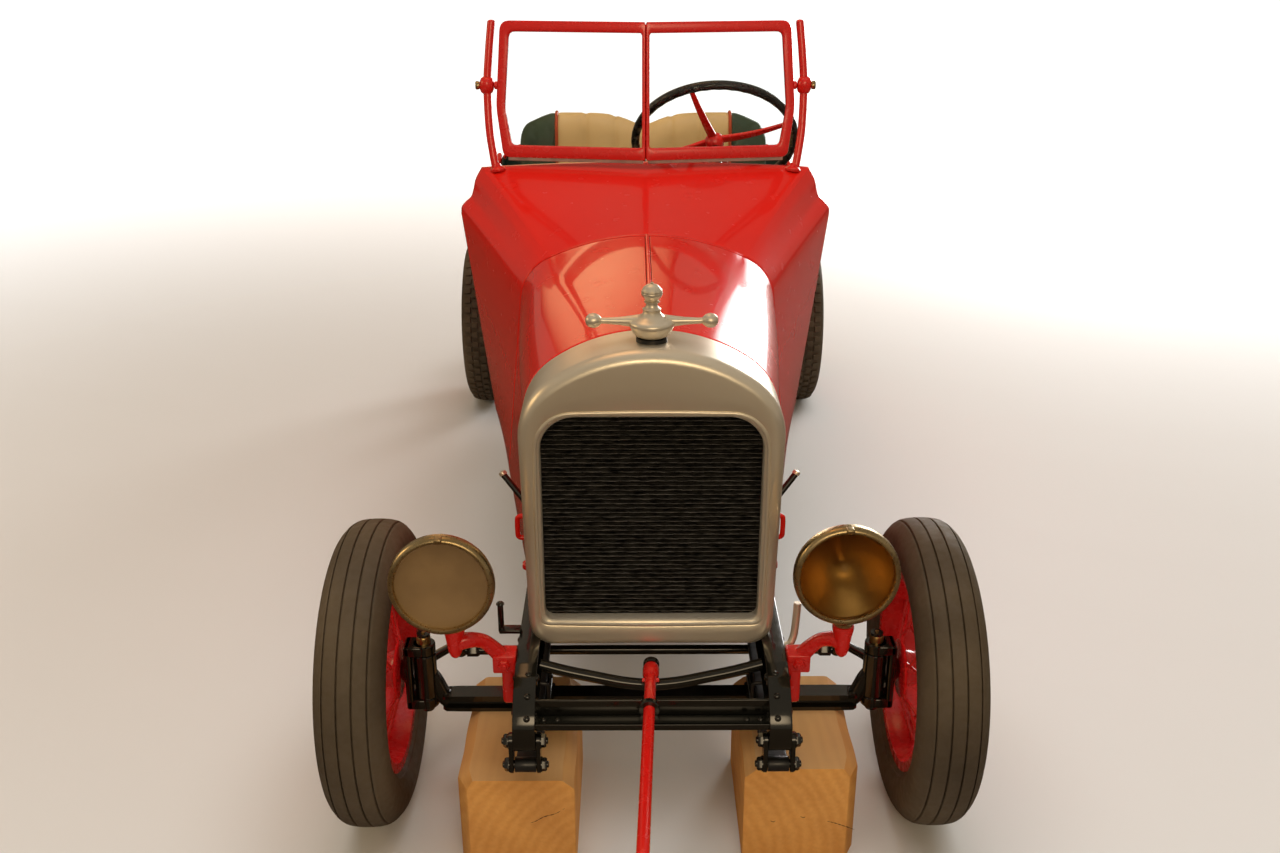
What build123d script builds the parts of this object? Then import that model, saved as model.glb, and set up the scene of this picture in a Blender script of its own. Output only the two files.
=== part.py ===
from build123d import *
import math
import os

# Overall reach: the handle's grip ahead of the front axle and the tail behind the rear one
HANDLE_REACH = 660.0
WHEELBASE = 2045.0
TAIL_OVERHANG = 400.0
TAIL_REACH = WHEELBASE + TAIL_OVERHANG
FRONT_AXLE_Y = (HANDLE_REACH - TAIL_REACH) / 2
REAR_AXLE_Y = FRONT_AXLE_Y + WHEELBASE

# Clearances and small overlaps that join pieces of one node
RUN_GAP = 0.05
SKIN_GAP = 0.3
PIN_GAP = 1.0
JOINT_GAP = 5.0
BITE = 2.0
SWELL = 0.3
FAR = 500.0

# Wheels and tyres
TYRE_R = 269.0
TYRE_W = 115.0
RIM_R = 172.0
RIM_W = 84.0
HUB_R = 36.0
HUB_FLANGE_R = 52.0
HUB_IN = 42.0
HUB_OUT = 48.0
HUB_CAP_R = 27.0
HUB_CAP_OUT = 78.0
SPOKE_R = 2.6
SPOKE_COUNT = 20
SPOKE_LEAN = 14.0
STUB_R = 16.0
STUB_STOP = HUB_OUT - 8.0
TRACK_F = 487.0
TRACK_R = 506.0

# King pins, steering arms and tie rod
KING_X = 401.0
KING_R = 11.0
KING_TOP = 344.0
KING_LOW = 186.0
EYE_R = 20.0
EYE_LOW = 216.0
EYE_HIGH = 304.0
FORK_T = 20.0
WEB_T = 13.0
ARM_BACK = 150.0
ARM_X = 360.0
ARM_Z = 212.0
ARM_R = 8.0
TIE_R = 9.0
BALL_R = 13.0

# Frame rails and cross members
RAIL_X = 203.0
RAIL_W = 36.0
RAIL_H = 72.0
RAIL_TOP = 400.0
RAIL_LOW = RAIL_TOP - RAIL_H
RAIL_REAR_X = 262.0
RAIL_REAR_H = 38.0
RAIL_SPREAD_START = 80.0
RAIL_SPREAD_END = 900.0
RAIL_SWEEP_UP = WHEELBASE - 345.0
RAIL_END = WHEELBASE + 30.0
HORN_FRONT = -268.0
CROSS_W = 40.0
CROSS_LOW = 345.0

# Springs and shackles
SHACKLE_D = -250.0
SHACKLE_TOP_Z = 300.0
SHACKLE_LOW_Z = 254.0
SHACKLE_PIN_R = 7.0
SHACKLE_PLATE_T = 7.0
BLOCK_TOP = 190.0
PAD_TOP = 228.0
LEAF_T = 6.0
LEAF_W = 34.0
SPRING_TOP = PAD_TOP + 4 * LEAF_T
REAR_LEAF_T = 7.0
REAR_LEAF_W = 40.0
AXLE_TUBE_R = 24.0

# Body skin
CROWN_Z = 906.0
HINGE_Z = 904.0
HINGE_R = 5.0
SKIN_T = 4.0
WALL_T = 16.0
FLOOR_T = 12.0
RADIATOR_FRONT = -112.0
BONNET_START = 0.0
SCUTTLE_START = 610.0
SCREEN_LINE = 1000.0
TAIL_START = WHEELBASE - 300.0
SEAT_FRONT = WHEELBASE - 755.0
SEAT_BACK_FRONT = WHEELBASE - 445.0

# Radiator
SHELL_HALF = 211.0
SHELL_LOW = 384.0
SHELL_FLOOR = 20.0
SHELL_CORNER = 38.0
SHELL_ROLL = 22.0
CORE_HALF = 182.0
WINDOW_HALF = 176.0
WINDOW_LOW = 436.0
WINDOW_HIGH = 798.0
WINDOW_CORNER = 56.0
FIN_PITCH = 14.0
CAP_D = -52.0

# Windscreen
SCREEN_BASE_D = 955.0
SCREEN_LOW = 992.0
SCREEN_H = 300.0
SCREEN_KINK_UP = 110.0
SCREEN_HALF = (329.0, 343.0, 329.0)
SCREEN_SIDE = 20.0
SCREEN_HEAD = 24.0
SCREEN_FOOT = 28.0
SCREEN_CENTRE = 8.0
SCREEN_T = 13.0
PANE_T = 4.0
VEE = 8.0
LEAN = 7.0
PIVOT_D = 1022.0
PIVOT_Z = 1150.0
PIVOT_R = 4.0
PIVOT_IN = 328.5
POST_X = 356.0
POST_R = 6.5

# Driving position
WHEEL_HUB = (174.0, 1250.0, 986.0)
WHEEL_RAKE = 40.0
WHEEL_R = 197.0
WHEEL_RIM_R = 11.0
COLUMN_R = 16.0
COLUMN_LENGTH = 900.0
SPINDLE_R = 10.0

# Headlamps and their bracket bosses: side, lamp centre x and z, boss x
LAMPS = ((-1, -326.0, 561.0, -316.0), (1, 300.0, 576.0, 306.0))
LAMP_D = -205.0
LAMP_R = 83.0
LAMP_WALL = 9.0
LAMP_TILT = 4.0
BOSS_D = -178.0
BOSS_LOW = 414.0
BOSS_TOP = 470.0
CUBE_D = -150.0
CUBE_LOW = 371.0
CUBE_TOP = 404.0
ARM_BAR_R = 11.0

# Starting handle
CRANK_D = -118.0
CRANK_Z = 349.0
CRANK_R = 9.5
CRANK_SLEW = 2.2
CRANK_DROP = 180.0
CRANK_GRIP_R = 15.0
CRANK_GRIP_L = 70.0

# Timber blocks: inner and outer side, front end, back end
BAULKS = ((-128.0, -326.0, -212.0, 94.0), (158.0, 354.0, -184.0, 94.0))
BAULK_CHAMFER = 22.0
BAULK_NOSE = 18.0


def at(distance):
    """Return the Y of a station behind the front axle."""
    return FRONT_AXLE_Y + distance


def rod(p, q, r):
    """Return a round bar between two points."""
    a = Vector(*p)
    d = Vector(*q) - a
    plane = Plane(origin=a, z_dir=d)
    return plane * Cylinder(r, d.length, align=(Align.CENTER, Align.CENTER, Align.MIN))


def ball(p, r):
    """Return a ball at a point."""
    return Pos(*p) * Sphere(r)


def block(x0, x1, y0, y1, z0, z1):
    """Return a box from its six limits, in either order."""
    mid = ((x0 + x1) / 2, (y0 + y1) / 2, (z0 + z1) / 2)
    return Pos(*mid) * Box(abs(x1 - x0), abs(y1 - y0), abs(z1 - z0))


def chain(points, r):
    """Return a round bar through points, with a ball just larger than it at each bend."""
    shape = rod(points[0], points[1], r)
    for a, b in zip(points[1:-1], points[2:]):
        shape = shape + ball(a, r + SWELL) + rod(a, b, r)
    return shape


def prism(points, travel):
    """Return a prism from corner points in space, carried along a vector."""
    edges = [Edge.make_line(a, b) for a, b in zip(points, points[1:] + points[:1])]
    return Solid.extrude(Face(Wire(edges)), Vector(*travel))


def side_profile(points, x0, x1):
    """Return a prism along X from (y, z) points."""
    return prism([(x0, y, z) for y, z in points], (x1 - x0, 0, 0))


def plan_profile(points, z0, z1):
    """Return a prism along Z from (x, y) points."""
    return prism([(x, y, z0) for x, y in points], (0, 0, z1 - z0))


def turned(points):
    """Return a ring turned about the local Z from (radius, z) points."""
    pts = [(r, 0, z) for r, z in points]
    edges = [Edge.make_line(a, b) for a, b in zip(pts, pts[1:] + pts[:1])]
    return Solid.revolve(Face(Wire(edges)), 360, Axis.Z)


def both_sides(shape):
    """Return a shape with its mirror image across the middle of the car."""
    return shape + mirror(shape, Plane.YZ)


def arch_points(wb, zb, w, zs, rc, zt):
    """Return points on half a section: foot, shoulder, three along the corner arc, crown."""
    lean = math.atan2(w - wb, zs - zb)
    cx = w - rc * math.cos(lean)
    cz = zs + rc * math.sin(lean)
    r = (rc**2 - cx**2 - (cz - zt)**2) / (2 * (cz - zt + rc))
    join = math.atan2(cz - zt + r, cx)
    pts = [(wb, zb), (w, zs)]
    for k in range(1, 7):
        a = -lean + (join + lean) * k / 6
        pts.append((cx + rc * math.cos(a), cz + rc * math.sin(a)))
    return pts + [(0.0, zt)]


def section(d, pts):
    """Return a section face: foot and side lines, three corner arcs a side and a crown arc."""
    right = [(x, at(d), z) for x, z in pts]
    left = [(-x, y, z) for x, y, z in right]
    edges = [Edge.make_line(left[0], right[0]), Edge.make_line(right[0], right[1])]
    for k in (1, 3, 5):
        edges.append(Edge.make_three_point_arc(right[k], right[k + 1], right[k + 2]))
    edges.append(Edge.make_three_point_arc(right[7], right[8], left[7]))
    for k in (5, 3, 1):
        edges.append(Edge.make_three_point_arc(left[k + 2], left[k + 1], left[k]))
    edges.append(Edge.make_line(left[1], left[0]))
    return Face(Wire(edges))


def arch_rows(rows, inset=0.0, drop=0.0):
    """Return section points of plain arched rows, drawn in by a wall and let down below."""
    out = []
    for d, wb, zb, w, zs, rc, zt in rows:
        lean = (w - wb) / (zs - zb)
        foot = (wb - inset - drop * lean, zb - drop)
        out.append((d, arch_points(*foot, w - inset, zs, rc - inset, zt - inset)))
    return out


def skin(sections):
    """Return a loft through sections given as station and points."""
    return loft([section(d, pts) for d, pts in sections])


# Section columns: station, foot half width, foot height, shoulder half width, shoulder
# height, corner radius, crown height
SHELL_ROW = (203.0, SHELL_LOW, SHELL_HALF, 755.0, 120.0, CROWN_Z)
BONNET_ROWS = [
    (BONNET_START, 203.0, 402.0, SHELL_HALF, 755.0, 120.0, CROWN_Z),
    (SCUTTLE_START / 2, 255.0, 402.0, 241.0, 765.0, 112.0, CROWN_Z),
    (SCUTTLE_START, 303.0, 383.0, 263.0, 775.0, 105.0, CROWN_Z),
]
TUB_ROWS = [
    (SCREEN_LINE, 372.0, 368.0, 431.0, 862.0, 40.0, 982.0),
    (WHEELBASE - 745.0, 408.0, 360.0, 440.0, 866.0, 42.0, 940.0),
    (TAIL_START, 384.0, 362.0, 416.0, 800.0, 80.0, 925.0),
]
TAIL_ROWS = [
    TUB_ROWS[-1],
    (WHEELBASE + 5.0, 285.0, 402.0, 330.0, 750.0, 110.0, 890.0),
    (TAIL_REACH - 145.0, 150.0, 452.0, 190.0, 680.0, 100.0, 800.0),
    (TAIL_REACH, 34.0, 560.0, 52.0, 620.0, 36.0, 672.0),
]

# Flared section at the windscreen: half width, height, and how a wall moves in and down.
# Foot, waist, ledge arc, hollow, neck arc, top corner, crown.
FLARE = (
    (372.0, 368.0, 1.0, 0.0), (431.0, 862.0, 1.0, 0.0), (429.0, 878.0, 1.0, 0.4),
    (419.0, 890.0, 1.0, 0.7), (406.0, 902.0, 1.0, 0.9), (400.0, 918.0, 1.0, 0.9),
    (393.0, 944.0, 1.0, 0.9), (378.0, 970.0, 1.0, 1.0), (0.0, 982.0, 0.0, 1.0),
)
# Share of the flare reached at each station between the bonnet joint and the windscreen
FLARE_SHARES = ((SCUTTLE_START, 0.0), ((SCUTTLE_START + SCREEN_LINE) / 2, 0.46), (SCREEN_LINE, 1.0))


def scuttle_sections(inset=0.0, drop=0.0):
    """Return sections that pass from the bonnet's arch to the flared one."""
    plain = arch_rows(BONNET_ROWS[-1:], inset, drop)[0][1]
    flared = [(x - inset * sx, z - inset * sz) for x, z, sx, sz in FLARE]
    flared[0] = (flared[0][0], flared[0][1] - drop)
    out = []
    for d, share in FLARE_SHARES:
        pts = [(a[0] + (b[0] - a[0]) * share, a[1] + (b[1] - a[1]) * share)
               for a, b in zip(plain, flared)]
        out.append((d, pts))
    return out


def on_crank(distance, drop=0.0):
    """Return a point along the starting handle's shaft, let down by a drop."""
    slew = math.radians(CRANK_SLEW)
    return (-math.sin(slew) * distance, at(CRANK_D) - math.cos(slew) * distance, CRANK_Z - drop)


nodes = {}

# Frame: two pressed side rails with drooping horns, joined by cross members
half_w = RAIL_W / 2
rail_plan = [
    (RAIL_X - half_w, at(HORN_FRONT - BITE)),
    (RAIL_X + half_w, at(HORN_FRONT - BITE)),
    (RAIL_X + half_w, at(RAIL_SPREAD_START)),
    (RAIL_REAR_X + half_w, at(RAIL_SPREAD_END)),
    (RAIL_REAR_X + half_w, at(RAIL_END)),
    (RAIL_REAR_X - half_w, at(RAIL_END)),
    (RAIL_REAR_X - half_w, at(RAIL_SPREAD_END)),
    (RAIL_X - half_w, at(RAIL_SPREAD_START)),
]
HORN_LOW = SHACKLE_TOP_Z - 14.0
rail_side = [
    (at(HORN_FRONT), HORN_LOW),
    (at(HORN_FRONT + 34.0), HORN_LOW),
    (at(HORN_FRONT + 63.0), RAIL_LOW + BITE),
    (at(HORN_FRONT + 118.0), RAIL_LOW),
    (at(RAIL_SWEEP_UP), RAIL_LOW),
    (at(RAIL_SWEEP_UP + 80.0), RAIL_TOP - RAIL_REAR_H),
    (at(RAIL_END), RAIL_TOP - RAIL_REAR_H),
    (at(RAIL_END), RAIL_TOP),
    (at(HORN_FRONT + 128.0), RAIL_TOP),
    (at(HORN_FRONT + 63.0), RAIL_TOP - 8.0),
    (at(HORN_FRONT + 12.0), RAIL_TOP - 48.0),
    (at(HORN_FRONT), RAIL_LOW + BITE),
]
rail = plan_profile(rail_plan, HORN_LOW - BITE, RAIL_TOP + BITE)
rail &= side_profile(rail_side, 0.0, FAR)
frame = both_sides(rail)
inner = RAIL_X - half_w + BITE
frame += block(-inner, inner, at(HORN_FRONT + 6.0), at(HORN_FRONT + 36.0), RAIL_LOW - BITE,
               RAIL_TOP - 32.0)
# Guide ring and boss for the starting handle, with the boss's hanger
RING_R = 22.0
BOSS_R = 17.0
frame += rod(on_crank(104.0), on_crank(154.0), RING_R)
frame += rod(on_crank(-13.0), on_crank(13.0), BOSS_R)
TUBE_LOW = 316.0
frame += block(-12.0, 12.0, at(CRANK_D - 12.0), at(CRANK_D + 10.0), TUBE_LOW - 6.0, CRANK_Z - CRANK_R)
# Bowed tube between the horns
dip = [(s * x, at(CRANK_D - BITE), TUBE_LOW + rise)
       for s, x, rise in ((-1, inner, 40.0), (-1, 90.0, 20.0), (1, 0.0, 0.0), (1, 90.0, 20.0),
                          (1, inner, 40.0))]
frame += chain(dip, 10.0)
# Cross members: station, half width, underside
for d, half, low in ((500.0, 225.0, CROSS_LOW), (930.0, 250.0, CROSS_LOW),
                     (WHEELBASE - 405.0, 250.0, CROSS_LOW),
                     (RAIL_END - CROSS_W / 2, 250.0, RAIL_TOP - RAIL_REAR_H + 6.0)):
    frame += block(-half, half, at(d - CROSS_W / 2), at(d + CROSS_W / 2), low, RAIL_TOP - BITE)
frame -= rod(on_crank(-40.0), on_crank(200.0), CRANK_R + RUN_GAP)
for s in (-1, 1):
    frame -= rod((s * (RAIL_X - 30.0), at(SHACKLE_D), SHACKLE_TOP_Z),
                 (s * (RAIL_X + 30.0), at(SHACKLE_D), SHACKLE_TOP_Z), SHACKLE_PIN_R)
nodes["frame_rails"] = frame

# Spring shackles: two plates hung from each horn, with two cross pins
plate_x = half_w + SHACKLE_PLATE_T / 2 + SKIN_GAP
shackle = None
for px in (RAIL_X - plate_x, RAIL_X + plate_x):
    plate = block(px - SHACKLE_PLATE_T / 2, px + SHACKLE_PLATE_T / 2, at(SHACKLE_D - 13.0),
                  at(SHACKLE_D + 13.0), SHACKLE_LOW_Z - 14.0, SHACKLE_TOP_Z + 14.0)
    shackle = plate if shackle is None else shackle + plate
for z in (SHACKLE_LOW_Z, SHACKLE_TOP_Z):
    shackle += rod((RAIL_X - half_w - 16.0, at(SHACKLE_D), z), (RAIL_X + half_w + 16.0, at(SHACKLE_D), z),
                   SHACKLE_PIN_R)
nodes["spring_shackles"] = both_sides(shackle)

# Front springs: stepped leaves from the shackle over the axle to the rear hanger.
# Columns: reach ahead of and behind the axle
spring = None
for i, (ahead, behind) in enumerate(((246.0, 236.0), (190.0, 190.0), (140.0, 140.0), (92.0, 92.0))):
    z1 = SPRING_TOP - i * LEAF_T
    leaf = block(RAIL_X - LEAF_W / 2, RAIL_X + LEAF_W / 2, at(-ahead), at(behind), z1 - LEAF_T, z1)
    spring = leaf if spring is None else spring + leaf
eye_ends = [(RAIL_X + s * LEAF_W / 2, at(SHACKLE_D), SHACKLE_LOW_Z) for s in (-1, 1)]
spring += rod(*eye_ends, SHACKLE_PIN_R + 5.0)
spring -= rod(*eye_ends, SHACKLE_PIN_R)
spring += block(RAIL_X - LEAF_W / 2, RAIL_X + LEAF_W / 2, at(210.0), at(250.0), SPRING_TOP - LEAF_T,
                RAIL_LOW)
nodes["front_springs"] = both_sides(spring)

# Front axle: a forged beam with spring pads and king pin eyes
BEAM_T = 34.0
beam = block(-KING_X + 4.0, KING_X - 4.0, at(-BEAM_T / 2), at(BEAM_T / 2), BLOCK_TOP, EYE_LOW + 6.0)
for s in (-1, 1):
    beam += rod((s * KING_X, at(0), EYE_LOW), (s * KING_X, at(0), EYE_HIGH), EYE_R)
    beam += block(s * RAIL_X - 26.0, s * RAIL_X + 26.0, at(-48.0), at(48.0), EYE_LOW - 4.0, PAD_TOP)
for s in (-1, 1):
    beam -= block(s * (KING_X - EYE_R - 8.0), s * (KING_X + EYE_R), at(-40.0), at(40.0),
                  BLOCK_TOP - JOINT_GAP, EYE_LOW)
    beam -= rod((s * KING_X, at(0), EYE_LOW - 60.0), (s * KING_X, at(0), EYE_HIGH + 60.0),
                KING_R + RUN_GAP)
nodes["front_axle"] = beam

# Rear axle: tubes and a middle casing carrying the two rear hubs
TUBE_END = TRACK_R - HUB_IN - 18.0
CASING_R = 84.0
axle = rod((-TUBE_END, REAR_AXLE_Y, TYRE_R), (TUBE_END, REAR_AXLE_Y, TYRE_R), AXLE_TUBE_R)
axle += ball((0, REAR_AXLE_Y, TYRE_R), CASING_R)
axle += rod((0, REAR_AXLE_Y - 150.0, TYRE_R), (0, REAR_AXLE_Y, TYRE_R), 30.0)
for s in (-1, 1):
    axle += rod((s * (TUBE_END - 1.0), REAR_AXLE_Y, TYRE_R),
                (s * (TRACK_R + STUB_STOP), REAR_AXLE_Y, TYRE_R), STUB_R)
nodes["rear_axle"] = axle

# Rear springs: stepped leaves under the rails, seated on the axle tubes
spring = None
for i, short in enumerate((0.0, 130.0, 230.0)):
    z1 = RAIL_LOW - i * REAR_LEAF_T
    leaf = block(RAIL_REAR_X - REAR_LEAF_W / 2, RAIL_REAR_X + REAR_LEAF_W / 2,
                 REAR_AXLE_Y - 565.0, REAR_AXLE_Y + 25.0 - short, z1 - REAR_LEAF_T, z1)
    spring = leaf if spring is None else spring + leaf
SEAT_HALF = REAR_LEAF_W / 2 + 4.0
spring += block(RAIL_REAR_X - SEAT_HALF, RAIL_REAR_X + SEAT_HALF, REAR_AXLE_Y - 22.0, REAR_AXLE_Y + 22.0,
                TYRE_R + AXLE_TUBE_R - 6.0, RAIL_LOW - REAR_LEAF_T + BITE)
spring -= rod((RAIL_REAR_X - 2 * SEAT_HALF, REAR_AXLE_Y, TYRE_R),
              (RAIL_REAR_X + 2 * SEAT_HALF, REAR_AXLE_Y, TYRE_R), AXLE_TUBE_R)
nodes["rear_springs"] = both_sides(spring)

# Timber blocks: two sawn baulks under the ends of the front axle
baulks = None
for inside, outside, front, back in BAULKS:
    b = block(inside, outside, at(front), at(back), 0.0, BLOCK_TOP)
    b = chamfer(b.edges().filter_by(Axis.Y).group_by(Axis.Z)[-1], BAULK_CHAMFER)
    s = 1 if outside > 0 else -1
    nose = [(outside - s * BAULK_NOSE, at(front)), (outside + s * BITE, at(front) - BITE),
            (outside + s * BITE, at(front) + 2 * BAULK_NOSE)]
    b -= plan_profile(nose, -BITE, BLOCK_TOP + BITE)
    baulks = b if baulks is None else baulks + b
nodes["timber_blocks"] = baulks

# Radiator shell with rounded lower corners, a rounded front edge, window and filler neck
SHELL_DEPTH = BONNET_START - RADIATOR_FRONT
front = section(RADIATOR_FRONT, arch_points(*SHELL_ROW))
shell = Solid.extrude(front, Vector(0, SHELL_DEPTH, 0))
feet = [e for e in shell.edges().filter_by(Axis.Y) if e.center().Z < SHELL_LOW + 1.0]
shell = fillet(feet, SHELL_CORNER)
shell = fillet(shell.faces().sort_by(Axis.Y)[0].edges(), SHELL_ROLL)
CORE_LOW = SHELL_LOW + SHELL_FLOOR
hollow_row = (CORE_HALF + 4.0, CORE_LOW, SHELL_HALF - 6.0, 755.0, 114.0, CROWN_Z - 6.0)
hollow = section(RADIATOR_FRONT + 10.0, arch_points(*hollow_row))
shell -= Solid.extrude(hollow, Vector(0, SHELL_DEPTH, 0))
for s in (-1, 1):
    shell -= block(s * (RAIL_X - half_w - SKIN_GAP), s * FAR, at(RADIATOR_FRONT - BITE),
                   at(BONNET_START + BITE), 0.0, RAIL_TOP)
cut = (at(RADIATOR_FRONT - 20.0), at(RADIATOR_FRONT + 30.0))
shell -= block(-WINDOW_HALF, WINDOW_HALF, *cut, WINDOW_LOW, WINDOW_HIGH - WINDOW_CORNER)
corner_x = WINDOW_HALF - WINDOW_CORNER
corner_z = WINDOW_HIGH - WINDOW_CORNER
shell -= block(-corner_x, corner_x, *cut, corner_z - BITE, WINDOW_HIGH)
for s in (-1, 1):
    shell -= rod((s * corner_x, cut[0], corner_z), (s * corner_x, cut[1], corner_z), WINDOW_CORNER)
CAP_Y = at(CAP_D)
NECK_TOP = CROWN_Z + 8.0
shell += rod((0, CAP_Y, CROWN_Z - 12.0), (0, CAP_Y, NECK_TOP), 27.0)
nodes["radiator_shell"] = shell

# Radiator core: a finned block behind the window
FIN_FACE = RADIATOR_FRONT + 24.0
core = block(-CORE_HALF, CORE_HALF, at(FIN_FACE), at(BONNET_START - 14.0), CORE_LOW, WINDOW_HIGH + 12.0)
for k in range(26):
    z = WINDOW_LOW + 8.0 + k * FIN_PITCH
    core -= block(-CORE_HALF - BITE, CORE_HALF + BITE, at(FIN_FACE - 4.0), at(FIN_FACE + 7.0), z,
                  z + FIN_PITCH / 2)
nodes["radiator_core"] = core

# Radiator cap: flared body, cross arms with balls and a stepped finial
cap_line = [(0.0, 0.0), (24.0, 0.0), (24.0, 8.0), (34.0, 20.0), (34.0, 24.0), (14.0, 36.0),
            (9.0, 46.0), (9.0, 50.0), (0.0, 50.0)]
ARM_UP = 23.0
ARM_END = 92.0
cap = Pos(0, CAP_Y, NECK_TOP) * turned(cap_line)
cap += rod((-ARM_END, CAP_Y, NECK_TOP + ARM_UP), (ARM_END, CAP_Y, NECK_TOP + ARM_UP), 5.0)
for s in (-1, 1):
    cap += ball((s * ARM_END, CAP_Y, NECK_TOP + ARM_UP), 10.5)
cap += ball((0, CAP_Y, NECK_TOP + 58.0), 15.0)
nodes["radiator_cap"] = cap

# Bonnet: two skins that meet on a centre hinge
outer = skin(arch_rows(BONNET_ROWS))
inside = skin(arch_rows(BONNET_ROWS, SKIN_T, FLOOR_T))
bonnet = outer - inside
edge_x = HINGE_R + SKIN_GAP
for name, s in (("bonnet_left", -1), ("bonnet_right", 1)):
    nodes[name] = bonnet & block(s * edge_x, s * FAR, at(BONNET_START + JOINT_GAP),
                                 at(SCUTTLE_START - JOINT_GAP), 0.0, 2 * FAR)
nodes["bonnet_hinge"] = rod((0, at(BONNET_START), HINGE_Z), (0, at(SCUTTLE_START), HINGE_Z), HINGE_R)


def on_column(distance):
    """Return a point on the column, measured forward and down from the wheel hub."""
    rake = math.radians(WHEEL_RAKE)
    return (WHEEL_HUB[0], at(WHEEL_HUB[1]) - math.cos(rake) * distance,
            WHEEL_HUB[2] - math.sin(rake) * distance)


# Scuttle: the flared panel from the bonnet joint back to the windscreen
FLOOR_Z = RAIL_TOP
room = skin(scuttle_sections(WALL_T, FLOOR_T))
room -= block(-FAR, FAR, at(0), at(TAIL_START), FLOOR_Z, FLOOR_Z + FLOOR_T)
room -= block(-FAR, FAR, at(0), at(SCUTTLE_START + FLOOR_T), FLOOR_Z, 2 * FAR)
scuttle = skin(scuttle_sections()) - room
nodes["scuttle"] = scuttle - rod(on_column(COLUMN_LENGTH), on_column(700.0), COLUMN_R + SKIN_GAP)

# Body tub: hollow walls with a floor and a cut-down cockpit opening.
# Columns of the cockpit edge: station, height
room = skin(arch_rows(TUB_ROWS, WALL_T, FLOOR_T))
room -= block(-FAR, FAR, at(0), at(TAIL_START + FAR), FLOOR_Z, FLOOR_Z + FLOOR_T)
MOUTH = ((SCREEN_LINE - 60.0, 905.0), (SCREEN_LINE + 60.0, 868.0), (SCREEN_LINE + 200.0, 800.0),
         (SCREEN_LINE + 380.0, 780.0), (WHEELBASE - 485.0, 800.0), (TAIL_START - 55.0, 850.0),
         (TAIL_START - 9.0, 850.0))
mouth = [(at(MOUTH[0][0]), 2 * FAR)] + [(at(d), z) for d, z in MOUTH] + [(at(MOUTH[-1][0]), 2 * FAR)]
nodes["body_tub"] = skin(arch_rows(TUB_ROWS)) - room - side_profile(mouth, -FAR, FAR)

# Tail: a hollow boat tail behind the seat, with wells over the frame rails
TAIL_T = 14.0
hollow = [(d, wb - TAIL_T, zb + TAIL_T, w - TAIL_T, zs, rc - TAIL_T, zt - TAIL_T)
          for d, wb, zb, w, zs, rc, zt in TAIL_ROWS[:3]]
tail = skin(arch_rows(TAIL_ROWS)) - skin(arch_rows(hollow))
well = half_w + 1.0
for s in (-1, 1):
    tail -= block(s * RAIL_REAR_X - well, s * RAIL_REAR_X + well, at(TAIL_START - BITE), at(RAIL_END + 1.0),
                  0.0, RAIL_TOP + 1.0)
nodes["tail"] = tail

# Dashboard: a plain panel under the scuttle's rear edge
DASH_D = SCREEN_LINE - 46.0
dash = skin(scuttle_sections(WALL_T + SKIN_GAP, FLOOR_T))
dash &= block(-FAR, FAR, at(DASH_D - 6.0), at(DASH_D + 6.0), 660.0, 2 * FAR)
nodes["dashboard"] = dash - rod(on_column(500.0), on_column(100.0), COLUMN_R + SKIN_GAP)

# Seats: cushion and two-hump back, simple closed forms
SEAT_HALF_W = 352.0
SEAT_LOW = FLOOR_Z + FLOOR_T
cushion = block(-SEAT_HALF_W, SEAT_HALF_W, at(SEAT_FRONT), at(SEAT_BACK_FRONT - BITE), SEAT_LOW, 560.0)
nodes["seat_cushion"] = fillet(cushion.edges().filter_by(Axis.X).group_by(Axis.Z)[-1], 30.0)
back_line = [(at(SEAT_BACK_FRONT), SEAT_LOW), (at(SEAT_BACK_FRONT + 100.0), SEAT_LOW),
             (at(SEAT_BACK_FRONT + 128.0), 960.0), (at(SEAT_BACK_FRONT + 112.0), 1000.0),
             (at(SEAT_BACK_FRONT + 76.0), 1000.0), (at(SEAT_BACK_FRONT + 50.0), 960.0)]
backrest = side_profile(back_line, -SEAT_HALF_W, SEAT_HALF_W)
backrest -= rod((0, at(SEAT_BACK_FRONT - FAR), 1115.0), (0, at(SEAT_BACK_FRONT + FAR), 1115.0), 125.0)
nodes["seat_back"] = backrest

# Windscreen: two flat panes in a shallow vee, carried in one frame that narrows at its foot
vee = math.radians(VEE)
lean = math.radians(LEAN)
screen_plane = Plane(origin=(0, at(SCREEN_BASE_D), SCREEN_LOW),
                     x_dir=(math.cos(vee), math.sin(vee), 0),
                     z_dir=(math.sin(vee) * math.cos(lean), -math.cos(vee) * math.cos(lean),
                            math.sin(lean)))
skew = math.tan(vee) * math.sin(lean)
low_half, kink_half, top_half = SCREEN_HALF
kink = SCREEN_KINK_UP
rim_line = [(0, 0), (low_half, 0), (kink_half, kink), (top_half, SCREEN_H), (0, SCREEN_H)]
pane_line = [(SCREEN_CENTRE, SCREEN_FOOT), (low_half - SCREEN_SIDE, SCREEN_FOOT),
             (kink_half - SCREEN_SIDE, kink), (top_half - SCREEN_SIDE, SCREEN_H - SCREEN_HEAD),
             (SCREEN_CENTRE, SCREEN_H - SCREEN_HEAD)]


def screen_sheet(points, thickness):
    """Return a flat sheet in the plane of the right-hand pane, its centre edge upright."""
    flat = Face(Wire.make_polygon([(x + y * skew, y, 0) for x, y in points]))
    return screen_plane * (Pos(0, 0, -thickness / 2) * Solid.extrude(flat, Vector(0, 0, thickness)))


half_frame = screen_sheet(rim_line, SCREEN_T) - screen_sheet(pane_line, SCREEN_T + BITE)
half_frame -= rod((PIVOT_IN - PIN_GAP, at(PIVOT_D), PIVOT_Z), (POST_X, at(PIVOT_D), PIVOT_Z),
                  PIVOT_R + RUN_GAP)
nodes["windscreen_frame"] = both_sides(half_frame)
nodes["windscreen_glass"] = both_sides(screen_sheet(pane_line, PANE_T))

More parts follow.
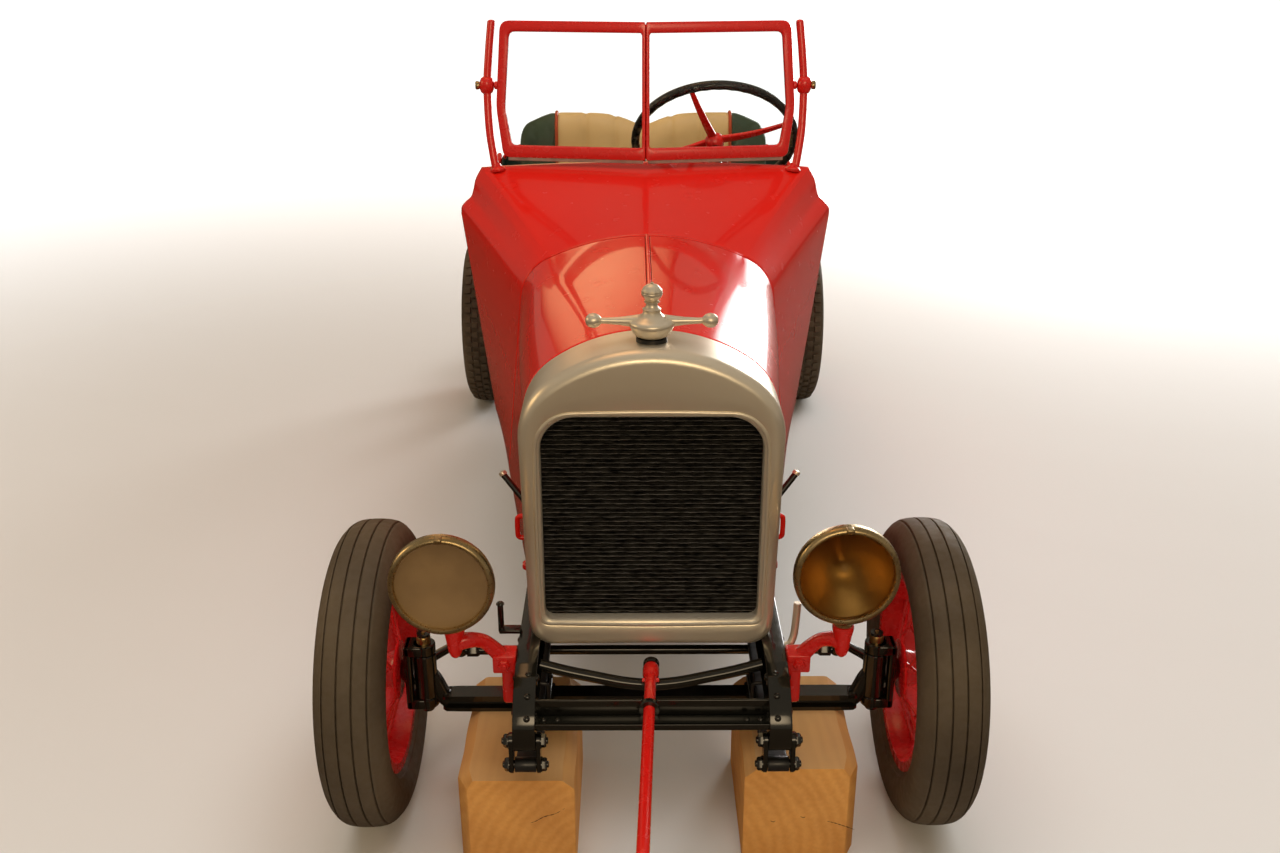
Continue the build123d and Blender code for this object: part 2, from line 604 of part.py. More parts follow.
# Windscreen posts: bent bars on the scuttle corners with a clamp and pin.
# Columns: half width, station, height
post_line = [(338.0, at(982.0), 955.0), (345.0, at(992.0), 1000.0), (353.0, at(1006.0), 1060.0),
             (POST_X, at(PIVOT_D), PIVOT_Z), (341.0, at(1041.0), SCREEN_LOW + SCREEN_H - BITE)]
post = chain(post_line, POST_R) - scuttle
post += ball((POST_X, at(PIVOT_D), PIVOT_Z), 13.0)
post += rod((PIVOT_IN, at(PIVOT_D), PIVOT_Z), (POST_X, at(PIVOT_D), PIVOT_Z), PIVOT_R)
post += rod((POST_X, at(PIVOT_D), PIVOT_Z), (POST_X + 30.0, at(PIVOT_D), PIVOT_Z), 8.0)
nodes["windscreen_posts"] = both_sides(post)

# Steering column: a tube from its box on the frame up to the spindle
FOOT_TOP = RAIL_TOP + 70.0
HUB_BELOW = 24.0
column = rod(on_column(COLUMN_LENGTH), on_column(HUB_BELOW + 6.0), COLUMN_R)
column += block(150.0, 250.0, at(520.0), at(590.0), RAIL_TOP, FOOT_TOP)
column -= block(100.0, 300.0, at(400.0), at(700.0), RAIL_TOP - 100.0, RAIL_TOP)
column += rod(on_column(HUB_BELOW + 7.0), on_column(5.0), SPINDLE_R - RUN_GAP)
nodes["steering_column"] = column

# Steering wheel: a round rim on four arms and a boss
hub_x, hub_d, hub_z = WHEEL_HUB
rake = math.radians(WHEEL_RAKE)
wheel_plane = Plane(origin=(hub_x, at(hub_d), hub_z), x_dir=(1, 0, 0),
                    z_dir=(0, math.cos(rake), math.sin(rake)))
wheel = Torus(WHEEL_R, WHEEL_RIM_R)
for k in range(4):
    wheel += Rot(0, 0, 45 + 90 * k) * rod((0, 0, 0), (WHEEL_R - BITE, 0, 0), 6.0)
wheel += rod((0, 0, -HUB_BELOW), (0, 0, 12.0), 24.0)
wheel -= rod((0, 0, -2 * HUB_BELOW), (0, 0, -4.0), SPINDLE_R)
nodes["steering_wheel"] = wheel_plane * wheel

# Headlamps: bowls tilted up a little on short stems, with a rim and a lens in front
tilt = math.radians(LAMP_TILT)
lamps = None
lenses = None
for s, x, z, boss_x in LAMPS:
    plane = Plane(origin=(x, at(LAMP_D), z), z_dir=(0, -math.cos(tilt), math.sin(tilt)))
    bowl = Pos(0, 0, -46.0) * Cone(36.0, LAMP_R - 5.0, 92.0)
    bowl += Pos(0, 0, -90.0) * Sphere(37.0)
    bowl += Pos(0, 0, 5.0) * Cylinder(LAMP_R, 22.0)
    bowl -= Pos(0, 0, -40.0) * Cone(28.0, LAMP_R - LAMP_WALL, 92.0)
    bowl -= Pos(0, 0, 12.0) * Cylinder(LAMP_R - LAMP_WALL, 34.0)
    lamp = plane * bowl
    lamp += rod((boss_x, at(BOSS_D), BOSS_TOP), (boss_x, at(BOSS_D), z - 62.0), 8.0)
    lens = plane * (Pos(0, 0, 8.0) * Cylinder(LAMP_R - LAMP_WALL, 6.0))
    lamps = lamp if lamps is None else lamps + lamp
    lenses = lens if lenses is None else lenses + lens
nodes["headlamps"] = lamps
nodes["headlamp_lenses"] = lenses

# Lamp brackets: a post on each horn with a square head, and an arm to a tapered boss
brackets = None
side = RAIL_X + half_w
for s, x, z, boss_x in LAMPS:
    arm = block(s * side, s * (side + 27.0), at(CUBE_D - 13.0), at(CUBE_D + 13.0), 306.0, CUBE_LOW + BITE)
    arm += block(s * side, s * (side + 38.0), at(CUBE_D - 18.0), at(CUBE_D + 18.0), CUBE_LOW, CUBE_TOP)
    arm += chain([(s * (side + 28.0), at(CUBE_D), CUBE_LOW + 15.0), (s * 274.0, at(CUBE_D - 8.0), 386.0),
                  (s * 296.0, at(CUBE_D - 18.0), 404.0), (boss_x, at(BOSS_D), BOSS_LOW + 16.0)], ARM_BAR_R)
    rise = BOSS_TOP - BOSS_LOW
    arm += Pos(boss_x, at(BOSS_D), BOSS_LOW + rise / 2) * Cone(9.0, 17.0, rise)
    brackets = arm if brackets is None else brackets + arm
nodes["lamp_brackets"] = brackets

# Engine: one plain block that rests on the front cross member
nodes["engine_block"] = block(-110.0, 110.0, at(60.0), at(520.0), RAIL_TOP - BITE, 700.0)

# Knuckles: forks on the king pins with stub axles and steering arms
WEB_IN = KING_X + EYE_R + BITE
ARM_TOP = ARM_Z + BALL_R + SKIN_GAP + 9.0
knuckle = rod((KING_X, at(0), KING_LOW), (KING_X, at(0), KING_TOP), KING_R)
knuckle += block(WEB_IN, WEB_IN + WEB_T, at(-EYE_R), at(EYE_R), EYE_LOW - PIN_GAP - FORK_T,
                 EYE_HIGH + PIN_GAP + FORK_T)
for z in (EYE_LOW - PIN_GAP - FORK_T, EYE_HIGH + PIN_GAP):
    knuckle += rod((KING_X, at(0), z), (KING_X, at(0), z + FORK_T), EYE_R)
    knuckle += block(KING_X, WEB_IN + WEB_T, at(-EYE_R), at(EYE_R), z, z + FORK_T)
knuckle += rod((WEB_IN + BITE, at(0), TYRE_R), (TRACK_F + STUB_STOP, at(0), TYRE_R), STUB_R)
knuckle += chain([(WEB_IN + 6.0, at(12.0), ARM_TOP + BITE), (WEB_IN, at(50.0), ARM_TOP + BITE),
                  (ARM_X, at(ARM_BACK), ARM_TOP)], ARM_R)
knuckle += rod((ARM_X, at(ARM_BACK), ARM_TOP - 9.0), (ARM_X, at(ARM_BACK), ARM_TOP + 9.0), BALL_R)
nodes["knuckle_right"] = knuckle
nodes["knuckle_left"] = mirror(knuckle, Plane.YZ)

# Tie rod between the two steering arms, behind the axle
tie = rod((-ARM_X, at(ARM_BACK), ARM_Z), (ARM_X, at(ARM_BACK), ARM_Z), TIE_R)
tie += ball((-ARM_X, at(ARM_BACK), ARM_Z), BALL_R) + ball((ARM_X, at(ARM_BACK), ARM_Z), BALL_R)
nodes["tie_rod"] = tie

# Starting handle: shaft through its boss and guide ring, with arm and grip
slew = math.radians(CRANK_SLEW)
CRANK_END = (HANDLE_REACH + CRANK_D - CRANK_GRIP_R * math.sin(slew)) / math.cos(slew)
ELBOW = CRANK_END - CRANK_GRIP_L - 6.0
handle = chain([on_crank(-14.0), on_crank(ELBOW), on_crank(ELBOW, CRANK_DROP),
                on_crank(CRANK_END - 4.0, CRANK_DROP)], CRANK_R)
handle += rod(on_crank(CRANK_END - CRANK_GRIP_L, CRANK_DROP), on_crank(CRANK_END, CRANK_DROP), CRANK_GRIP_R)
handle += rod(on_crank(16.0), on_crank(40.0), 13.0)
nodes["starting_handle"] = handle

# Wheels: hub, spokes and rim, with the tyre a node of its own
CORNERS = (("front_left", -1, FRONT_AXLE_Y, TRACK_F), ("front_right", 1, FRONT_AXLE_Y, TRACK_F),
           ("rear_left", -1, REAR_AXLE_Y, TRACK_R), ("rear_right", 1, REAR_AXLE_Y, TRACK_R))
# Rim edge and hub ring: radius beyond the rim or hub radius, height from the middle
RIM_HALF = RIM_W / 2
RIM_LINE = ((-6, -RIM_HALF), (8, -RIM_HALF), (8, 4 - RIM_HALF), (-4, 8 - RIM_HALF), (-10, 0),
            (-4, RIM_HALF - 8), (8, RIM_HALF - 4), (8, RIM_HALF), (-6, RIM_HALF), (-8, RIM_HALF - 8),
            (-15, 0), (-8, 8 - RIM_HALF))
RING_HEIGHT = HUB_OUT - 9.0


def wheel_shape():
    """Return one wheel about the local Z, outer face towards +Z."""
    bore = STUB_R + RUN_GAP
    ring = HUB_R + 6.0
    hub = turned([(bore, -HUB_IN), (HUB_FLANGE_R, -HUB_IN), (HUB_FLANGE_R, 6 - HUB_IN), (HUB_R, 8 - HUB_IN),
                  (HUB_R - 6, 0), (HUB_R, HUB_OUT - 14), (ring, HUB_OUT - 12), (ring, HUB_OUT - 6),
                  (HUB_CAP_R, HUB_OUT - 4), (HUB_CAP_R, HUB_CAP_OUT - 8), (HUB_CAP_R - 7, HUB_CAP_OUT),
                  (0, HUB_CAP_OUT), (0, HUB_OUT - 7), (bore, HUB_OUT - 7)])
    shape = hub + turned([(RIM_R + r, z) for r, z in RIM_LINE])
    for k in range(SPOKE_COUNT):
        inner_side = k % 2 == 1
        a = math.radians(360 * k / SPOKE_COUNT)
        b = a + math.radians(SPOKE_LEAN if inner_side else -SPOKE_LEAN)
        z = 3 - HUB_IN if inner_side else RING_HEIGHT
        r = (HUB_FLANGE_R if inner_side else ring) - 5
        end = RIM_R - 12
        foot = (r * math.cos(a), r * math.sin(a), z)
        shape += rod(foot, (end * math.cos(b), end * math.sin(b), 0), SPOKE_R)
    return shape


# Tyre outline from bead to crown: radius, height from the middle
TYRE_HALF = TYRE_W / 2
TYRE_LINE = ((RIM_R + 8.4, RIM_HALF + 3), (RIM_R + 33, TYRE_HALF), (TYRE_R - 26, TYRE_HALF - 3),
             (TYRE_R, TYRE_HALF - 29))
tyre_shape = turned([(r, -z) for r, z in TYRE_LINE] + [(r, z) for r, z in reversed(TYRE_LINE)])
base_wheel = wheel_shape()
for name, s, y, track in CORNERS:
    plane = Plane(origin=(s * track, y, TYRE_R), z_dir=(s, 0, 0), x_dir=(0, 1, 0))
    nodes["wheel_" + name] = plane * base_wheel
    nodes["tyre_" + name] = plane * tyre_shape

os.makedirs("parts", exist_ok=True)
for name, shape in nodes.items():
    export_step(shape, "parts/" + name + ".step")
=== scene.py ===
import math

import bmesh
import bpy
import numpy as np
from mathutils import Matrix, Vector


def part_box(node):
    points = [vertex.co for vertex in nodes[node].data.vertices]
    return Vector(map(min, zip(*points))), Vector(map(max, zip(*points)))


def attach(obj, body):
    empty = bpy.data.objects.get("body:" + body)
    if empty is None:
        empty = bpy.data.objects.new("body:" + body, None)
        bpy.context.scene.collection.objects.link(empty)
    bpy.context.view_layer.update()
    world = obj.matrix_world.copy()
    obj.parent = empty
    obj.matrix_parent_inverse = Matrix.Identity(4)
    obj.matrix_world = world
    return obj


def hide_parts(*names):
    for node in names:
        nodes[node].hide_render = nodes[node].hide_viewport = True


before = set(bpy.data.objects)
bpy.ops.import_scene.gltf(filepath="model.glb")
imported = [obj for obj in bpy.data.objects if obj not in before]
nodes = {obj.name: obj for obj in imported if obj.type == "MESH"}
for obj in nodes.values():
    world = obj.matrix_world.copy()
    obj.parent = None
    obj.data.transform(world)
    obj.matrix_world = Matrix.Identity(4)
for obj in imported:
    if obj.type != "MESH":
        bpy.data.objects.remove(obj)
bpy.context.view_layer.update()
scene = bpy.context.scene

# The studio: a pale floor that fades to white, two soft boxes overhead, warm ones on the left,
# in front and behind, and a tall bright one behind the car on the right like an open door.
# The camera stands over the starting handle and looks down along the bonnet.
axle_y = sum(corner[1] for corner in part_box("front_axle")) / 2
CAMERA_BACK = 1.906
CAMERA_X = -0.028
CAMERA_HEIGHT = 1.536
CAMERA_DOWN = 22.71
CAMERA_TURN = -0.30
CAMERA_LENS = 35.33
ROOM_LIGHT = 0.24
ROOM_WHITE = 1.0


def add(tree, kind, **sockets):
    """Add a shader node; each named socket gets a number, a colour or a link."""
    node = tree.nodes.new("ShaderNode" + kind)
    for label, value in sockets.items():
        socket = node.inputs[label.replace("_", " ")]
        if isinstance(value, bpy.types.NodeSocket):
            tree.links.new(value, socket)
        else:
            socket.default_value = value
    return node


def maths(tree, operation, first, second=0.0):
    """Join two values with one arithmetic step."""
    node = tree.nodes.new("ShaderNodeMath")
    node.operation = operation
    for socket, value in zip(node.inputs, (first, second)):
        if isinstance(value, bpy.types.NodeSocket):
            tree.links.new(value, socket)
        else:
            socket.default_value = value
    return node.outputs[0]


def seen(tree, rays):
    """Camera rays, and rays through the panes, but not where the paint mirrors the panes."""
    direct = maths(tree, "LESS_THAN", rays["Glossy Depth"], 0.5)
    through = maths(tree, "MULTIPLY", rays["Is Transmission Ray"], direct)
    return maths(tree, "MAXIMUM", rays["Is Camera Ray"], through)


camera_data = bpy.data.cameras.new("camera")
camera_data.sensor_fit = "HORIZONTAL"
camera_data.sensor_width = 36.0
camera_data.lens = CAMERA_LENS
camera = bpy.data.objects.new("camera", camera_data)
camera.location = (CAMERA_X, axle_y - CAMERA_BACK, CAMERA_HEIGHT)
camera.rotation_euler = (math.radians(90 - CAMERA_DOWN), 0.0, math.radians(CAMERA_TURN))
scene.collection.objects.link(camera)
scene.camera = camera
scene.view_settings.view_transform = "Standard"

world = bpy.data.worlds.new("room")
scene.world = world
world.use_nodes = True
sky = world.node_tree
dim = sky.nodes["Background"]
dim.inputs["Color"].default_value = (1.0, 0.84, 0.62, 1.0)
dim.inputs["Strength"].default_value = ROOM_LIGHT
white = add(sky, "Background", Color=(1.0, 1.0, 1.0, 1.0), Strength=ROOM_WHITE)
mixed = add(sky, "MixShader", Fac=seen(sky, add(sky, "LightPath").outputs))
sky.links.new(dim.outputs[0], mixed.inputs[1])
sky.links.new(white.outputs[0], mixed.inputs[2])
sky.links.new(mixed.outputs[0], sky.nodes["World Output"].inputs["Surface"])

floor_mesh = bpy.data.meshes.new("floor")
floor_mesh.from_pydata([(-30, -20, 0), (30, -20, 0), (30, 40, 0), (-30, 40, 0)], [], [(0, 1, 2, 3)])
floor = bpy.data.objects.new("floor", floor_mesh)
scene.collection.objects.link(floor)
floor_paint = bpy.data.materials.new("floor_paint")
floor_paint.use_nodes = True
floor_tree = floor_paint.node_tree
floor_shader = floor_tree.nodes["Principled BSDF"]
floor_shader.inputs["Roughness"].default_value = 0.8
floor_shader.inputs["Specular IOR Level"].default_value = 0.2
floor_shader.inputs["Emission Color"].default_value = (1.0, 1.0, 1.0, 1.0)
floor_rays = add(floor_tree, "LightPath").outputs
floor_tint = add(floor_tree, "MixRGB", Fac=floor_rays["Is Glossy Ray"], Color1=(0.78, 0.775, 0.765, 1.0),
                 Color2=(0.10, 0.07, 0.045, 1.0))
floor_tree.links.new(floor_tint.outputs["Color"], floor_shader.inputs["Base Color"])
away = add(floor_tree, "VectorMath", Vector=add(floor_tree, "TexCoord").outputs["Object"])
away.operation = "LENGTH"
fade = add(floor_tree, "MapRange", Value=away.outputs["Value"], From_Min=1.2, From_Max=7.0, To_Min=0.0,
           To_Max=1.1)
fade.interpolation_type = "SMOOTHSTEP"
floor_glow = maths(floor_tree, "MULTIPLY", fade.outputs["Result"], seen(floor_tree, floor_rays))
floor_tree.links.new(floor_glow, floor_shader.inputs["Emission Strength"])
floor_mesh.materials.append(floor_paint)

# name, centre, aimed at, width, height, brightness, colour, mirrored in the car
SOFT_BOXES = (
    ("box_fill", (0.0, -0.6, 5.2), (0.0, 0.1, 0.4), 6.0, 5.0, 4.6, (1.0, 0.98, 0.95), False),
    ("box_over", (-0.7, 0.6, 4.2), (0.0, 0.2, 0.7), 2.2, 2.2, 1.8, (1.0, 0.56, 0.26), True),
    ("box_door", (2.7, 4.6, 1.5), (0.1, -0.5, 0.8), 2.0, 2.7, 16.0, (1.0, 0.98, 0.96), True),
    ("box_left", (-4.4, -0.4, 2.2), (-0.1, 0.0, 0.6), 2.4, 1.6, 3.6, (1.0, 0.70, 0.38), True),
    ("box_front", (0.3, -5.2, 2.6), (0.0, -0.6, 0.4), 3.6, 1.9, 4.8, (1.0, 0.78, 0.50), True),
    ("box_back", (-1.0, 5.6, 2.2), (0.0, 1.0, 0.6), 3.4, 1.8, 2.0, (1.0, 0.60, 0.30), True),
)
for label, place, target, width, height, strength, colour, mirrored in SOFT_BOXES:
    facing = (Vector(target) - Vector(place)).to_track_quat("-Z", "Y").to_matrix()
    steps = np.linspace(-0.5, 0.5, 17)
    across, up = np.meshgrid(steps, steps, indexing="ij")
    flat = np.stack([across * width, up * height, 0 * up], -1).reshape(-1, 3)
    glow = (np.cos(across * np.pi) * np.cos(up * np.pi)).ravel() ** 0.6
    i, j = np.meshgrid(np.arange(16), np.arange(16), indexing="ij")
    first = (i * 17 + j).ravel()
    card_mesh = bpy.data.meshes.new(label)
    card_mesh.from_pydata(flat @ np.array(facing).T + place, [],
                          np.stack([first, first + 1, first + 18, first + 17], -1).tolist())
    glow_layer = card_mesh.attributes.new("glow", "FLOAT", "POINT")
    glow_layer.data.foreach_set("value", glow)
    light = bpy.data.materials.new(label + "_light")
    light.use_nodes = True
    tree = light.node_tree
    tree.nodes.remove(tree.nodes["Principled BSDF"])
    soft = add(tree, "Attribute")
    soft.attribute_name = "glow"
    level = maths(tree, "MULTIPLY", soft.outputs["Fac"], strength)
    lit = add(tree, "Emission", Color=(*colour, 1.0), Strength=level)
    tree.links.new(lit.outputs[0], tree.nodes["Material Output"].inputs["Surface"])
    card_mesh.materials.append(light)
    card = bpy.data.objects.new(label, card_mesh)
    card.visible_camera = False
    card.visible_glossy = mirrored
    scene.collection.objects.link(card)

# The chassis: two pressed steel side rails whose front ends droop into horns, black enamelled,
# joined by cross members, a bowed tube and domed rivets, with the ring and the boss that guide
# the starting handle.
RAIL_X = 203.0
RAIL_HALF = 18.0
REAR_X = 262.0


def two_colours(tree, amount, low, high, start=0.3, end=0.7):
    """Fade from one colour to another as an amount runs from start to end."""
    ramp = add(tree, "ValToRGB", Fac=amount)
    ramp.color_ramp.elements[0].position = start
    ramp.color_ramp.elements[0].color = (*low, 1.0)
    ramp.color_ramp.elements[1].position = end
    ramp.color_ramp.elements[1].color = (*high, 1.0)
    return ramp.outputs["Color"]


def finish(name, dark, light, rough, metallic=0.0, scale=6.0, grain=90.0, bump=0.15,
           depth=0.0006, coat=0.0, stretch=(1.0, 1.0, 1.0)):
    """A worn even finish: soft clouds of colour and gloss over a fine raised grain."""
    material = bpy.data.materials.new(name)
    material.use_nodes = True
    tree = material.node_tree
    shader = tree.nodes["Principled BSDF"]
    shader.inputs["Metallic"].default_value = metallic
    shader.inputs["Coat Weight"].default_value = coat
    shader.inputs["Coat Roughness"].default_value = 0.04
    place = add(tree, "TexCoord").outputs["Object"]
    place = add(tree, "Mapping", Vector=place, Scale=stretch).outputs["Vector"]
    clouds = add(tree, "TexNoise", Vector=place, Scale=scale, Detail=5.0).outputs["Fac"]
    fine = add(tree, "TexNoise", Vector=place, Scale=grain, Detail=4.0).outputs["Fac"]
    tree.links.new(two_colours(tree, clouds, dark, light), shader.inputs["Base Color"])
    gloss = add(tree, "MapRange", Value=fine, From_Min=0.3, From_Max=0.7, To_Min=rough[0],
                To_Max=rough[1]).outputs["Result"]
    tree.links.new(gloss, shader.inputs["Roughness"])
    raised = add(tree, "Bump", Height=fine, Strength=bump, Distance=depth).outputs["Normal"]
    tree.links.new(raised, shader.inputs["Normal"])
    return material


def dress(material, *names):
    """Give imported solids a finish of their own."""
    for name in names:
        nodes[name].data.materials.clear()
        nodes[name].data.materials.append(material)


def skin_of(grid, around=False, along=False):
    """Quads over a grid of points; around closes the second way and along the first."""
    rows, columns = grid.shape[:2]
    i = np.arange(rows if along else rows - 1)
    j = np.arange(columns if around else columns - 1)
    i, j = np.meshgrid(i, j, indexing="ij")
    i2 = (i + 1) % rows
    j2 = (j + 1) % columns
    quads = np.stack([i * columns + j, i2 * columns + j, i2 * columns + j2, i * columns + j2], -1)
    return grid.reshape(-1, 3), quads.reshape(-1, 4)


def shut(grid):
    """A grid with each end drawn together in the middle of its last row."""
    middle = grid.mean(axis=1, keepdims=True)
    return np.concatenate([middle[:1] + 0 * grid[:1], grid, middle[-1:] + 0 * grid[:1]])


def piece(name, parts, material, body, replaces=(), sharp=35.0):
    """Join surfaces in millimetres into one object, closed up, turned outwards and riding."""
    verts = np.vstack([np.asarray(v, float) for v, _ in parts])
    starts = np.cumsum([0] + [len(v) for v, _ in parts[:-1]])
    quads = np.vstack([f + start for (_, f), start in zip(parts, starts)])
    mesh = bpy.data.meshes.new(name)
    mesh.from_pydata(verts * 0.001 + [0.0, axle_y, 0.0], [], quads.tolist())
    form = bmesh.new()
    form.from_mesh(mesh)
    bmesh.ops.remove_doubles(form, verts=form.verts, dist=0.00002)
    bmesh.ops.recalc_face_normals(form, faces=form.faces)
    form.to_mesh(mesh)
    form.free()
    mesh.polygons.foreach_set("use_smooth", np.ones(len(mesh.polygons), bool))
    mesh.set_sharp_from_angle(angle=math.radians(sharp))
    mesh.materials.append(material)
    made = bpy.data.objects.new(name, mesh)
    scene.collection.objects.link(made)
    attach(made, body)
    if replaces:
        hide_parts(*replaces)
    return made


def frame_of(axis):
    """Two unit vectors square to an axis and to each other."""
    w = np.asarray(axis, float)
    w = w / np.linalg.norm(w)
    spare = np.array([0.0, 0.0, 1.0]) if abs(w[2]) < 0.9 else np.array([0.0, 1.0, 0.0])
    u = np.cross(spare, w)
    u = u / np.linalg.norm(u)
    return w, u, np.cross(w, u)


def turned(profile, centre, axis, sides=40):
    """Turn (radius, height) pairs about an axis: centre + height*w + radius*(u cos t + v sin t)."""
    radius, height = np.array(profile, float).T
    w, u, v = frame_of(axis)
    t = np.linspace(0, 2 * np.pi, sides, endpoint=False)
    ring = np.cos(t)[:, None] * u + np.sin(t)[:, None] * v
    grid = np.asarray(centre, float) + height[:, None, None] * w + radius[:, None, None] * ring
    return skin_of(grid, around=True)


def rivet(centre, axis, radius, height):
    """A domed rivet head: radius cos t at height sin t, closed at its foot."""
    t = np.linspace(0, np.pi / 2, 5)
    dome = np.stack([radius * np.cos(t), height * np.sin(t)], -1)
    return turned(np.vstack([[0, -0.5], [radius, -0.5], dome]), centre, axis, 12)


def hex_nut(centre, axis, across, height):
    """A six-sided nut on a washer, its outer corners bevelled, with the bolt's end standing out."""
    r = across / math.sqrt(3)
    nut = turned([(0, 1), (r, 1), (r, height * 0.75), (r * 0.84, height), (0, height)], centre, axis, 6)
    washer = turned([(0, 0), (r * 1.15, 0), (r * 1.15, 1.6), (0, 1.6)], centre, axis, 20)
    thread = turned([(0, 0), (r * 0.5, 0), (r * 0.5, height + 2), (r * 0.4, height + 3),
                     (0, height + 3)], centre, axis, 14)
    verts = np.vstack([nut[0], washer[0], thread[0]])
    second = len(nut[0])
    third = second + len(washer[0])
    return verts, np.vstack([nut[1], washer[1] + second, thread[1] + third])


def carried(path, outline, size=None, facing=None):
    """Carry a flat outline along a path: path(i) + size(i)*(x*side(i) + y*up(i)), ends drawn shut.

    Up is as near as it can be to a facing, by default the axis the path strays along least.
    """
    path = np.asarray(path, float)
    outline = np.asarray(outline, float)
    ahead = np.gradient(path, axis=0)
    ahead /= np.linalg.norm(ahead, axis=1)[:, None]
    stray = np.ptp(path, axis=0)
    if facing is None:
        facing = np.eye(3)[np.argmin(stray + stray.max() * np.array([0.02, 0.02, 0.0]))]
    side = np.cross(facing, ahead)
    side /= np.linalg.norm(side, axis=1)[:, None]
    up = np.cross(ahead, side)
    size = np.ones(len(path)) if size is None else np.asarray(size, float)
    grid = path[:, None] + size[:, None, None] * (
        outline[None, :, :1] * side[:, None] + outline[None, :, 1:] * up[:, None])
    grid = np.concatenate([np.repeat(path[:1, None], len(outline), 1), grid,
                           np.repeat(path[-1:, None], len(outline), 1)])
    return skin_of(grid, around=True)


def flowing(points, count=40):
    """A smooth line through points: each span is the cubic (2a + (c-z)t + ...)/2 of four points."""
    p = np.asarray(points, float)
    p = np.vstack([2 * p[:1] - p[1:2], p, 2 * p[-1:] - p[-2:-1]])
    s = np.linspace(0, len(p) - 3 - 1e-9, count)
    k = s.astype(int)
    t = (s - k)[:, None]
    a, b, c, d = p[k], p[k + 1], p[k + 2], p[k + 3]
    return 0.5 * (2 * b + (c - a) * t + (2 * a - 5 * b + 4 * c - d) * t**2
                  + (3 * b - a - 3 * c + d) * t**3)


def round_outline(radius, sides=14):
    """A circle of points."""
    t = np.linspace(0, 2 * np.pi, sides, endpoint=False)
    return radius * np.stack([np.cos(t), np.sin(t)], -1)


def square_corners(width, height, corner, steps=4):
    """The four corner centres of a rectangle and the quarter-circle directions round them."""
    t = np.linspace(0, np.pi / 2, steps)
    t = np.concatenate([t, t + np.pi / 2, t + np.pi, t + 3 * np.pi / 2])
    ways = np.stack([np.cos(t), np.sin(t)], -1)
    signs = np.repeat([[1, 1], [-1, 1], [-1, -1], [1, -1]], steps, axis=0)
    return signs * [width / 2 - corner, height / 2 - corner], ways


def square_outline(width, height, corner, steps=4):
    """A rectangle with rounded corners: corner centres plus a quarter circle at each."""
    centres, ways = square_corners(width, height, corner, steps)
    return centres + corner * ways


def slab(centre, size, corner=2.0, axes=None):
    """A block with rounded edges: the rounded rectangle rises by r(1-cos t), inset r(1-sin t)."""
    axes = np.eye(3) if axes is None else np.asarray(axes, float)
    centres, ways = square_corners(size[0], size[1], corner)
    t = np.linspace(0, np.pi / 2, 4)
    rise = -size[2] / 2 + corner * (1 - np.cos(t))
    rise = np.concatenate([rise, -rise[::-1]])
    reach = corner * np.concatenate([np.sin(t), np.sin(t)[::-1]])
    flat = centres[None] + reach[:, None, None] * ways[None]
    grid = np.concatenate([flat, np.broadcast_to(rise[:, None, None], flat.shape[:2] + (1,))], -1)
    tip = np.zeros((1,) + grid.shape[1:])
    grid = np.concatenate([tip + [0, 0, rise[0]], grid, tip + [0, 0, rise[-1]]])
    return skin_of(np.asarray(centre, float) + grid @ axes, around=True)


black_enamel = finish("black_enamel", (0.003, 0.003, 0.002), (0.009, 0.008, 0.005), (0.14, 0.24),
                      grain=70.0, bump=0.05, coat=0.7)
# station, height of the rail's top, and then of its underside
RAIL_TOP_LINE = ((-268, 328), (-265, 338), (-256, 352), (-243, 365), (-226, 379), (-205, 390.5),
                 (-176, 397.5), (-140, 400), (2075, 400))
RAIL_LOW_LINE = ((-268, 300), (-266, 292), (-260, 287), (-250, 286), (-240, 287), (-232, 291),
                 (-222, 302), (-209, 318), (-195, 326), (-170, 328), (1700, 328), (1740, 342),
                 (1780, 361), (2075, 362))
SLEW = math.radians(2.2)
CRANK_WAY = np.array([-math.sin(SLEW), -math.cos(SLEW), 0.0])
CRANK_FOOT = np.array([0.0, -118.0, 349.0])


def on_crank(reach, drop=0.0):
    """A point along the starting handle's shaft, let down by a drop."""
    return CRANK_FOOT + CRANK_WAY * reach - [0.0, 0.0, drop]


def channel_rail(side):
    """A channel open inwards: at each station the web and flanges follow top and low lines.

    The hollow is 31*r mm deep, with r rising from 0 at the horn to 1 behind it.
    """
    y = np.concatenate([np.linspace(-268, -140, 40), np.linspace(-120, 80, 8), np.linspace(120, 900, 12),
                        np.linspace(1000, 1700, 8), np.linspace(1712, 1790, 9), [1900, 2000, 2075]])
    top = np.interp(y, *np.transpose(RAIL_TOP_LINE))[:, None]
    low = np.interp(y, *np.transpose(RAIL_LOW_LINE))[:, None]
    middle = np.interp(y, (80, 900), (RAIL_X, REAR_X))[:, None]
    hollow = np.clip((y + 190) / 50, 0, 1)[:, None] * 31.0
    # across from the middle outwards, and in from the top (1) or the underside (-1)
    table = [(18, 1, 2.5), (17.2, 1, 0.8), (15.5, 1, 0), (-16, 1, 0), (-17.4, 1, 0.6), (-18, 1, 2),
             (-18, 1, 5), (0, 1, 5), (0, -1, 5), (-18, -1, 5), (-18, -1, 2), (-17.4, -1, 0.6),
             (-16, -1, 0), (15.5, -1, 0), (17.2, -1, 0.8), (18, -1, 2.5)]
    x = np.array([row[0] for row in table]) + 0 * y[:, None]
    x[:, [7, 8]] = -18 + hollow
    z = np.stack([(top if row[1] > 0 else low)[:, 0] - row[1] * row[2] for row in table], -1)
    grid = np.stack([side * (middle + x), y[:, None] + 0 * x, z], -1)
    return skin_of(shut(grid), around=True)


